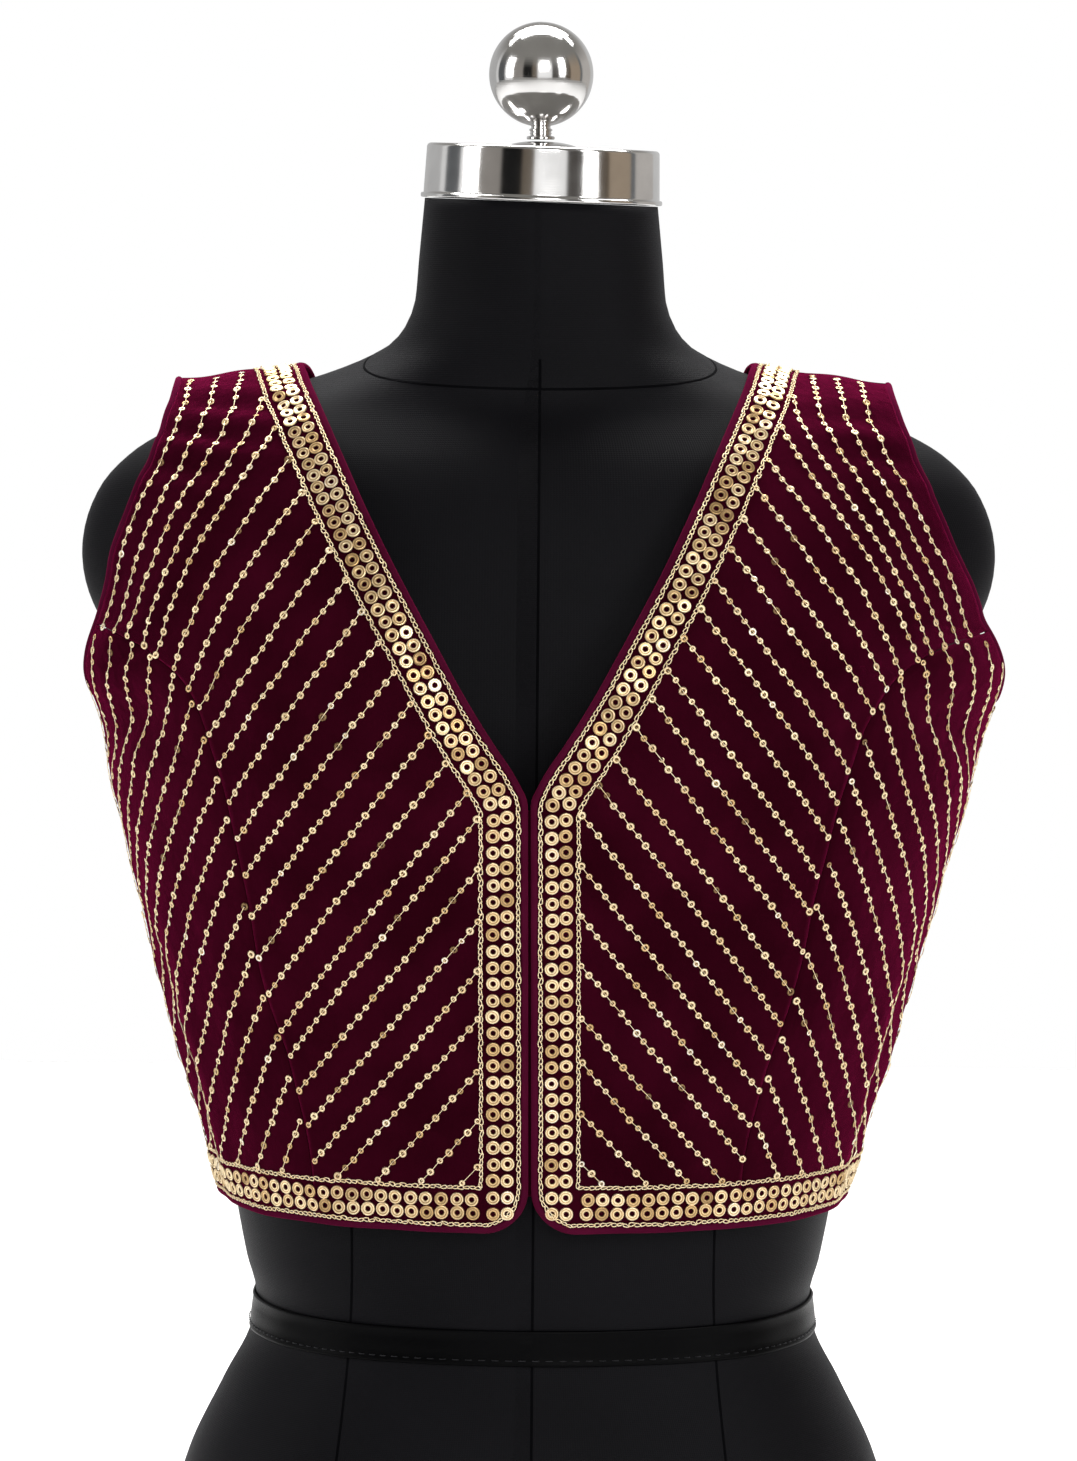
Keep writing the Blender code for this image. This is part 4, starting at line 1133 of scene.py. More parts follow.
@dataclass(frozen=True)
class Finishes:
    """Every finish of the part, made once."""

    cloth: bpy.types.Material
    piping: bpy.types.Material
    jersey: bpy.types.Material
    seam: bpy.types.Material
    ribbon: bpy.types.Material
    stitch: bpy.types.Material
    cup: bpy.types.Material
    thread: bpy.types.Material
    chrome: bpy.types.Material

    @classmethod
    def made(cls) -> "Finishes":
        """Makes them all."""
        maroon, wine = (0.0165, 0.0007, 0.0034), (0.0400, 0.0017, 0.0088)
        rose = (0.90, 0.03, 0.22)
        return cls(
            cloth=WovenCloth(
                "maroon_crepe", maroon, wine, 0.45, 0.38, rose, 0.00045, 0.00010, 24.0, 0.0, rose, 0.0011
            ).material(),
            piping=WovenCloth(
                "maroon_piping", (0.044, 0.0024, 0.0125), (0.084, 0.0055, 0.0260), 0.42, 0.25, rose,
                0.0004, 0.00006, 24.0, 0.0, rose,
            ).material(),
            jersey=WovenCloth(
                "black_canvas", (0.0024, 0.0023, 0.0031), (0.0050, 0.0048, 0.0063), 0.55, 0.035,
                (0.30, 0.30, 0.34), 0.0008, 0.00005, 12.0, 0.06,
            ).material(),
            seam=WovenCloth(
                "black_seam", (0.0013, 0.0013, 0.0017), (0.0034, 0.0034, 0.0042), 0.8, 0.0,
                (0.3, 0.3, 0.35), 0.0006, 0.00008, 24.0, 0.02,
            ).material(),
            ribbon=WovenCloth(
                "black_satin", (0.0008, 0.0008, 0.0010), (0.0018, 0.0018, 0.0022), 0.34, 0.0,
                (0.4, 0.4, 0.45), 0.0005, 0.00003, 24.0, 0.04,
            ).material(),
            stitch=WovenCloth(
                "black_stitch", (0.010, 0.010, 0.012), (0.030, 0.030, 0.034), 0.35, 0.1,
                (0.4, 0.4, 0.45), 0.0003, 0.00003,
            ).material(),
            cup=GoldMetal("gold_sequin").material(),
            thread=GoldThread("gilt_thread").material(),
            chrome=PolishedMetal("chrome").material(),
        )


def make_piece(
    name: str,
    points: Array,
    faces: Array,
    material: bpy.types.Material,
    uv: Optional[Array] = None,
    tint: Optional[Array] = None,
) -> bpy.types.Object:
    """Makes a smooth mesh that rides on the part.

    Args:
        name: The piece's name.
        points: Its points, in metres.
        faces: Its faces, all with as many corners.
        material: Its finish.
        uv: Flat coordinates of each point, in metres.
        tint: A number for each point that its finish reads.

    Returns:
        The object.
    """
    mesh = bpy.data.meshes.new(name)
    mesh.from_pydata(np.asarray(points).reshape(-1, 3).tolist(), [], np.asarray(faces).tolist())
    mesh.polygons.foreach_set("use_smooth", np.ones(len(mesh.polygons), bool))
    if uv is not None:
        corners = np.zeros(len(mesh.loops), np.int64)
        mesh.loops.foreach_get("vertex_index", corners)
        layer = mesh.uv_layers.new(name="flat")
        layer.data.foreach_set("uv", np.asarray(uv, np.float32).reshape(-1, 2)[corners].ravel())
    if tint is not None:
        attribute = mesh.attributes.new("tint", "FLOAT", "POINT")
        attribute.data.foreach_set("value", np.asarray(tint, np.float32))
    mesh.materials.append(material)
    obj = bpy.data.objects.new(name, mesh)
    bpy.context.scene.collection.objects.link(obj)
    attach(obj, "root")
    return obj


def grid_faces(rows: int, columns: int, flipped: bool = False, closed: bool = False) -> Array:
    """Quads over a grid of points that is stored row by row.

    Args:
        rows: Rows of points.
        columns: Points in a row.
        flipped: Whether the faces look the other way.
        closed: Whether each row closes into a ring.

    Returns:
        Four point numbers for each face.
    """
    j, i = np.meshgrid(np.arange(rows - 1), np.arange(columns if closed else columns - 1), indexing="ij")
    after = (i + 1) % columns
    low, high = j * columns, (j + 1) * columns
    quads = np.stack([low + i, low + after, high + after, high + i], -1).reshape(-1, 4)
    return quads[:, ::-1] if flipped else quads


def closing_faces(rings: int, columns: int) -> Array:
    """Quads that join the last of these rings of points to the first."""
    last = (rings - 1) * columns
    i = np.arange(columns)
    after = (i + 1) % columns
    return np.stack([last + i, last + after, after, i], -1)


def walked_along(points: Array, axis: int) -> Array:
    """The distance walked along one axis of a grid of points."""
    steps = np.linalg.norm(np.diff(points, axis=axis), axis=2)
    start = np.zeros_like(steps.take([0], axis=axis))
    return np.concatenate([start, np.cumsum(steps, axis=axis)], axis=axis)


def closed_tube(
    points: Array, normals: Array, radius: float, sides: int
) -> tuple[Array, Array, Array]:
    """Makes a round tube along a line that closes on itself.

    Args:
        points: Its centre line.
        normals: A direction off the line at each point.
        radius: Its radius.
        sides: Points round it.

    Returns:
        The points, the faces and flat coordinates.
    """
    along = unit(np.roll(points, -1, axis=0) - np.roll(points, 1, axis=0))
    across = unit(np.cross(along, normals))
    up = np.cross(across, along)
    angles = 2 * math.pi * np.arange(sides) / sides
    ring = np.cos(angles)[None, :, None] * across[:, None] + np.sin(angles)[None, :, None] * up[:, None]
    out = points[:, None] + radius * ring
    count = len(points)
    steps = np.linalg.norm(np.diff(points, axis=0), axis=1)
    walked = np.concatenate([[0.0], np.cumsum(steps)])
    uv = np.stack(np.broadcast_arrays(walked[:, None], (radius * angles)[None]), axis=-1)
    faces = np.concatenate([grid_faces(count, sides, closed=True), closing_faces(count, sides)])
    return out.reshape(-1, 3), faces, uv.reshape(-1, 2)


@dataclass(frozen=True)
class ClothPanel:
    """One cut panel of the blouse: a thin shell over one or two fine grids."""

    name: str
    grids: tuple[tuple[Array, int], ...]
    flat: tuple[float, float]
    area: float
    thickness: float = 0.0016

    def build(self, finishes: Finishes) -> bpy.types.Object:
        """Args:
            finishes: The part's finishes.

        Returns:
            The panel.
        """
        points, faces, flats, start = [], [], [], 0
        for grid, side in self.grids:
            rows, columns = grid.shape[:2]
            places = sided(grid, side)
            here = SURFACE.at(places, -self.thickness / 2)
            faces.append(grid_faces(rows, columns, flipped=side < 0) + start)
            across, upward = walked_along(here, 1), walked_along(here, 0)
            flats.append(np.stack([across * side, upward], axis=-1).reshape(-1, 2))
            points.append(here.reshape(-1, 3))
            start += rows * columns
        obj = make_piece(
            self.name, np.concatenate(points), np.concatenate(faces), finishes.cloth,
            uv=np.concatenate(flats),
        )
        self.weld(obj)
        solidify = obj.modifiers.new("Thickness", "SOLIDIFY")
        solidify.thickness = self.thickness
        solidify.offset = 0.0
        shading = obj.modifiers.new("Even shading", "WEIGHTED_NORMAL")
        shading.weight = 100
        log.info("%s: %.4f m2 of cloth", self.name, sum(p.area for p in obj.data.polygons))
        return obj

    def weld(self, obj: bpy.types.Object) -> None:
        """Joins the points where two grids of the panel meet."""
        if len(self.grids) > 1:
            weld = obj.modifiers.new("Join", "WELD")
            weld.merge_threshold = 0.00005


@dataclass(frozen=True)
class Blouse:
    """The cloth of the blouse: five panels, the underlap and three pipings."""

    piping_radius: float = 0.0016
    piping_sides: int = 12
    piping_step: float = 0.0022
    underlap_half_width: float = 0.009
    underlap_depth: float = 0.0030
    underlap_low: float = 0.306
    underlap_high: float = 0.474
    thickness: float = 0.0016
    underlap_thickness: float = 0.0012
    front_flat: tuple[float, float] = (0.214, 0.430)
    front_area: float = 0.0465
    side_flat: tuple[float, float] = (0.178, 0.264)
    side_area: float = 0.0291
    back_flat: tuple[float, float] = (0.511, 0.415)
    back_area: float = 0.1410
    underlap_flat: tuple[float, float] = (0.018, 0.168)

    def panels(self) -> list[ClothPanel]:
        """The five panels with the flat sizes of their cuts."""
        found = []
        for name, side in (("left", 1), ("right", -1)):
            front, beside = ((CUT.front_grid(side), side),), ((CUT.side_grid(side), side),)
            found.append(ClothPanel(f"front_{name}_cloth", front, self.front_flat, self.front_area))
            found.append(ClothPanel(f"side_front_{name}_cloth", beside, self.side_flat, self.side_area))
        halves = tuple((CUT.back_grid(side), side) for side in (1, -1))
        found.append(ClothPanel("back_cloth", halves, self.back_flat, self.back_area))
        return found

    def build_panels(self, finishes: Finishes) -> None:
        """Makes the panels and hides the solids that they stand for."""
        for panel in self.panels():
            obj = panel.build(finishes)
            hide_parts(panel.name.removesuffix("_cloth"))

    def build_underlap(self, finishes: Finishes) -> None:
        """Makes the folded strip behind the opening."""
        heights = np.linspace(self.underlap_low, self.underlap_high, 60)
        middles = CUT.shift(heights, 1)
        outs = middles[:, None] + np.linspace(-self.underlap_half_width, self.underlap_half_width, 9)[None]
        grid = SURFACE.place_for(np.broadcast_to(heights[:, None], outs.shape), outs)
        lift = -self.underlap_depth - self.thickness / 2
        points = SURFACE.at(grid, lift)
        uv = np.stack([outs, np.broadcast_to(heights[:, None], outs.shape)], axis=-1)
        faces = grid_faces(*outs.shape)
        strip = make_piece("underlap_strip", points, faces, finishes.cloth, uv=uv)
        solidify = strip.modifiers.new("Thickness", "SOLIDIFY")
        solidify.thickness = self.underlap_thickness
        solidify.offset = 0.0
        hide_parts("underlap")

    def piping(self, name: str, loop: Array, distance: float, node: str, finishes: Finishes) -> None:
        """Makes one round piping along an edge.

        Args:
            name: The piece's name.
            loop: The closed edge.
            distance: How far its centre lies inside the edge, to the left of its way.
            node: The solid that it stands for.
            finishes: The part's finishes.
        """
        inset = SURFACE.inset(loop, distance)
        corners = SURFACE.at(inset, -self.thickness / 2)
        closed = np.concatenate([corners, corners[:1]])
        along = np.concatenate([[0.0], np.cumsum(np.linalg.norm(np.diff(closed, axis=0), axis=1))])
        at = np.linspace(0, along[-1], int(along[-1] / self.piping_step) + 1)[:-1]
        points = np.stack([np.interp(at, along, closed[:, k]) for k in range(3)], axis=1)
        nearest = np.clip(np.searchsorted(along, at), 0, len(loop) - 1)
        normals = SURFACE.normals(inset)[nearest]
        points = 0.5 * points + 0.25 * (np.roll(points, 1, axis=0) + np.roll(points, -1, axis=0))
        shape, faces, uv = closed_tube(points, normals, self.piping_radius, self.piping_sides)
        obj = make_piece(name, shape, faces, finishes.piping, uv=uv)
        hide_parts(node)

    def build_pipings(self, finishes: Finishes) -> None:
        """Makes the pipings of the outer edge and of both armholes."""
        self.piping("piping_edge", CUT.edge_loop(), self.piping_radius, "binding_edge", finishes)
        for name, side in (("left", 1), ("right", -1)):
            loop = CUT.armhole_loop(side)
            node = f"binding_armhole_{name}"
            self.piping(f"piping_armhole_{name}", loop, -side * self.piping_radius, node, finishes)

    def build(self, finishes: Finishes) -> None:
        """Makes all the cloth."""
        self.build_panels(finishes)
        self.build_underlap(finishes)
        self.build_pipings(finishes)
        log.info("blouse: panels, underlap and pipings")


class Cup(NamedTuple):
    """The section of a cupped sequin: shares of its radius, heights as shares of it, and tones, each
    ring's share of the piece's tint: the raised rings stay bright while the rim, the low rings and the
    underside are painted shade, and the dark centre marks the hole and is painted shade too.
    """

    outs: tuple[float, ...]
    heights: tuple[float, ...]
    tones: tuple[float, ...]


# The large cup's tones: bright ridges, with painted shade on the rim, the groove, the centre round the
# hole and the underside.
LARGE_CUP = Cup(
    outs=(1.0, 0.86, 0.68, 0.50, 0.31, 0.60),
    heights=(0.0, 0.22, 0.03, 0.17, -0.02, -0.06),
    tones=(0.55, 1.0, 0.18, 1.0, 0.10, 0.2),
)
SMALL_CUP = Cup(outs=(1.0, 0.74, 0.24), heights=(0.0, 0.14, 0.04), tones=(0.7, 1.05, 0.35))


class SequinTray:
    """Gathers sequins and sews them on as one joined mesh."""

    def __init__(self, cup: Cup, segments: int, seed: int, dull_share: float) -> None:
        """Starts an empty tray.

        Args:
            cup: The section of its sequins.
            segments: Points round each ring.
            seed: Start of the random tints and tilts.
            dull_share: The share of its sequins that are given the dull brown tone.
        """
        self.dull_share = dull_share
        self.cup = cup
        self.segments = segments
        self.random = np.random.default_rng(seed)
        self.points: list[Array] = []
        self.tints: list[Array] = []

    def add(self, centres: Array, normals: Array, radii: Array, tilt: float) -> None:
        """Adds sequins.

        Args:
            centres: Their centres.
            normals: The way that they face.
            radii: Their radii.
            tilt: How far each may lean, as a share.
        """
        count = len(centres)
        if not count:
            return
        lean = self.random.normal(0.0, tilt, (count, 3))
        normals = unit(normals + lean)
        level = np.abs(normals[:, 2:3]) < 0.9
        helper = np.where(level, np.array([[0.0, 0.0, 1.0]]), np.array([[1.0, 0.0, 0.0]]))
        a = unit(np.cross(helper, normals))
        b = np.cross(normals, a)
        start = self.random.uniform(0, 2 * math.pi, count)
        angles = start[:, None] + 2 * math.pi * np.arange(self.segments)[None] / self.segments
        ring = np.cos(angles)[..., None] * a[:, None] + np.sin(angles)[..., None] * b[:, None]
        outs, heights = np.array(self.cup.outs), np.array(self.cup.heights)
        rims = outs[None, :, None, None] * ring[:, None]
        shape = rims + heights[None, :, None, None] * normals[:, None, None]
        self.points.append((centres[:, None, None] + radii[:, None, None, None] * shape).reshape(-1, 3))
        luck = self.random.uniform(0, 1, count)
        tints = np.clip(self.random.normal(0.60, 0.17, count), 0.15, 0.9)
        # About one piece in thirty gets the white stop, a painted glint.
        tints = np.where(luck < self.dull_share, 0.03, np.where(luck > 0.965, 1.0, tints))
        # The cup's tones scale each ring's tint: painted shade on the low rings, the centre and the
        # underside.
        tones = np.array(self.cup.tones)[None, :, None] * np.ones((1, 1, self.segments))
        self.tints.append((tints[:, None, None] * tones).ravel())

    def sew(self, name: str, finishes: Finishes) -> Optional[bpy.types.Object]:
        """Makes the tray's sequins into one piece."""
        if not self.points:
            return None
        points = np.concatenate(self.points)
        rings = len(self.cup.outs)
        own = rings * self.segments
        count = len(points) // own
        faces = grid_faces(rings, self.segments, closed=True)
        one = np.concatenate([faces, closing_faces(rings, self.segments)])
        every = (one[None] + own * np.arange(count)[:, None, None]).reshape(-1, 4)
        obj = make_piece(name, points, every, finishes.cup, tint=np.concatenate(self.tints))
        log.info("%s: %d sequins, %d faces", name, count, len(every))
        return obj


class ThreadSpool:
    """Gathers short tubes of gilt thread and sews them on as one joined mesh."""

    def __init__(self, radius: float, sides: int) -> None:
        """Starts an empty spool of thread of this radius."""
        self.random = np.random.default_rng(7)
        self.radius = radius
        self.sides = sides
        self.points: list[Array] = []
        self.faces: list[Array] = []
        self.count = 0

    def run(self, lines: Array, normals: Array, closed: bool) -> None:
        """Adds many short threads.

        Args:
            lines: Their centre lines, as threads by points by three.
            normals: The cloth's normal at each thread.
            closed: Whether each thread is a loop.
        """
        threads, steps = lines.shape[:2]
        if not threads:
            return
        if closed:
            along = unit(np.roll(lines, -1, axis=1) - np.roll(lines, 1, axis=1))
        else:
            along = unit(np.gradient(lines, axis=1))
        across = unit(np.cross(along, normals[:, None]))
        up = np.cross(across, along)
        angles = 2 * math.pi * (np.arange(self.sides) + 0.5) / self.sides
        ring = np.cos(angles)[:, None] * across[:, :, None] + np.sin(angles)[:, None] * up[:, :, None]
        shape = lines[:, :, None] + self.radius * ring
        faces = grid_faces(steps, self.sides, closed=True)
        last = (steps - 1) * self.sides
        if closed:
            faces = np.concatenate([faces, closing_faces(steps, self.sides)])
        elif self.sides == 4:
            faces = np.concatenate([faces, [[3, 2, 1, 0]], [[last, last + 1, last + 2, last + 3]]])
        own = steps * self.sides
        every = (faces[None] + own * np.arange(threads)[:, None, None]).reshape(-1, 4) + self.count
        self.points.append(shape.reshape(-1, 3))
        self.faces.append(every)
        self.count += own * threads

    def sew(self, name: str, finishes: Finishes) -> Optional[bpy.types.Object]:
        """Makes the spool's threads into one piece."""
        if not self.points:
            return None
        faces = np.concatenate(self.faces)
        obj = make_piece(name, np.concatenate(self.points), faces, finishes.thread)
        log.info("%s: %d faces", name, len(faces))
        return obj


@dataclass(frozen=True)
class GoldBand:
    """The border band: two rows of cupped sequins between two lines of chain stitch."""

    outer_chain: float = 0.0041
    outer_row: float = 0.0090
    inner_row: float = 0.0150
    inner_chain: float = 0.0203
    sequin_radius: float = 0.00316
    opening_pitch: float = 0.0072
    neck_pitch: float = 0.0065
    hem_pitch: float = 0.0066
    loop_length: float = 0.0025
    loop_half_width: float = 0.00080
    loop_points: int = 8
    loop_reach: float = 0.60
    loop_rise: float = 0.00022
    loop_lean: float = 0.10
    lean_spread: float = 0.13
    loop_spread: tuple[float, float] = (0.75, 1.15)
    thread_radius: float = 0.00028
    lift: float = 0.0005

    def front_line(self, side: int, distance: float) -> Array:
        """A line inside a front's straight edge and neck edge, from the hem to the shoulder."""
        low = CUT.opening_line(side, SURFACE.hem)
        places = np.concatenate([low, CUT.neck_line(side)[1:]])
        return SURFACE.offset(SURFACE.spaced(places, 220), distance)

    def corner_line(self, side: int, distance: float) -> Array:
        """The same, but rounding the slanted hem corner."""
        return SURFACE.offset(SURFACE.spaced(CUT.front_edge(side), 220), distance)

    def back_line(self, distance: float) -> Array:
        """A line inside the back's neck edge, from the left shoulder to the right one."""
        right = CUT.back_neck_line(-1)
        right = np.stack([2 * HALF_TURN - right[:, 0], right[:, 1]], axis=-1)
        places = np.concatenate([CUT.back_neck_line(1)[::-1], right[1:]])
        return SURFACE.offset(SURFACE.spaced(places, 160), distance)

    def hem_line(self, height: float, start: float) -> Array:
        """A level line over the hem, from a turn to centre back."""
        climb = height / (SURFACE.bust - SURFACE.hem)
        return line((start, climb), (HALF_TURN, climb), 400)

    def trimmed(self, places: Array, height: float) -> Array:
        """The part of a rising line above this height over the hem."""
        climb = height / (SURFACE.bust - SURFACE.hem)
        above = np.nonzero(places[:, 1] > climb)[0]
        first = max(int(above[0]), 1)
        low, high = places[first - 1], places[first]
        share = (climb - low[1]) / (high[1] - low[1])
        return np.concatenate([[low + (high - low) * share], places[first:]])

    def chain(self, spool: ThreadSpool, places: Array) -> None:
        """Adds a line of chain stitch, each loop holding the next.

        Args:
            spool: The thread.
            places: The line.
        """
        steps = max(int(SURFACE.walked(places)[-1] / self.loop_length), 1)
        even = SURFACE.spaced(places, steps)
        points, normals = SURFACE.axes(even, self.lift)
        along = points[1:] - points[:-1]
        middle, normal = points[:-1], unit(normals[:-1] + normals[1:])
        across = unit(np.cross(normal, along))
        steps = np.arange(len(middle))
        lean = self.loop_lean * np.where(steps % 2 == 0, 1.0, -1.0)
        lean = lean + spool.random.normal(0.0, self.lean_spread, len(middle))
        reach = np.linalg.norm(along, axis=1)
        along, across = (
            along * np.cos(lean)[:, None] + across * (reach * np.sin(lean))[:, None],
            across * np.cos(lean)[:, None] - unit(along) * np.sin(lean)[:, None],
        )
        across = across * spool.random.uniform(*self.loop_spread, (len(middle), 1))
        angle = 2 * math.pi * np.arange(self.loop_points) / self.loop_points
        share = 0.5 - self.loop_reach * np.cos(angle)
        width = self.loop_half_width * np.sin(angle) * (1.25 - 0.8 * share)
        rise = self.loop_rise * np.cos(angle)
        loops = (
            middle[:, None]
            + share[None, :, None] * along[:, None]
            + width[None, :, None] * across[:, None]
            + rise[None, :, None] * normal[:, None]
        )
        spool.run(loops, normal, True)

    def row(self, tray: SequinTray, places: Array, pitch: float) -> None:
        """Adds a row of large sequins, evenly from end to end.

        Args:
            tray: The sequins.
            places: The line that they follow.
            pitch: How far apart they are.
        """
        steps = max(round(SURFACE.walked(places)[-1] / pitch), 1)
        even = SURFACE.spaced(places, steps)
        points, normals = SURFACE.axes(even, self.lift)
        wander = tray.random.normal(0.0, 0.00012, points.shape)
        radii = self.sequin_radius * tray.random.uniform(0.95, 1.02, len(points))
        tray.add(points + wander, normals, radii, 0.045)

    def build_front(self, side: int, tray: SequinTray, spool: ThreadSpool) -> None:
        """Lays the band along one front's edge and along its half of the hem."""
        outer = self.corner_line(side, self.outer_chain)
        self.chain(spool, sided(outer, side))
        inner = self.trimmed(self.front_line(side, self.inner_chain), self.inner_chain)
        self.chain(spool, sided(inner, side))
        columns = []
        for distance in (self.outer_row, self.inner_row):
            column = self.trimmed(self.front_line(side, distance), self.outer_row)
            columns.append(column)
            bend = SURFACE.climb_for(CUT.neck_point, 0.0)
            straight = column[column[:, 1] <= bend]
            self.row(tray, sided(straight, side), self.opening_pitch)
            after_bend = column[len(straight) :]
            walked = SURFACE.walked(after_bend)
            self.row(tray, sided(after_bend[walked > 0.35 * self.neck_pitch], side), self.neck_pitch)
        girth = SURFACE.rings(np.array(0.0))[0] * 1.02
        after = columns[1][0, 0] + self.hem_pitch / girth * 1.25
        for height in (self.outer_row, self.inner_row):
            hem = self.hem_line(height, after)
            self.row(tray, sided(hem, side)[:-1], self.hem_pitch)
        self.chain(spool, sided(self.hem_line(self.outer_chain, outer[0, 0]), side))
        self.chain(spool, sided(self.hem_line(self.inner_chain, inner[0, 0]), side))

    def build(self, finishes: Finishes) -> None:
        """Sews the whole band on."""
        for name, side, seed in (("left", 1, 11), ("right", -1, 12)):
            tray = SequinTray(LARGE_CUP, 16, seed, 0.0)
            spool = ThreadSpool(self.thread_radius, 4)
            self.build_front(side, tray, spool)
            tray.sew(f"band_sequins_{name}", finishes)
            spool.sew(f"band_chain_{name}", finishes)
        tray = SequinTray(LARGE_CUP, 16, 13, 0.0)
        spool = ThreadSpool(self.thread_radius, 4)
        for distance in (self.outer_row, self.inner_row):
            self.row(tray, self.back_line(distance), self.neck_pitch)
        for distance in (self.outer_chain, self.inner_chain):
            self.chain(spool, self.back_line(distance))
        tray.sew("band_sequins_back", finishes)
        spool.sew("band_chain_back", finishes)


class Region(Enum):
    """Which panel a set of gold lines covers."""

    FRONT = "front"
    SIDE_FRONT = "side_front"
    BACK = "back"


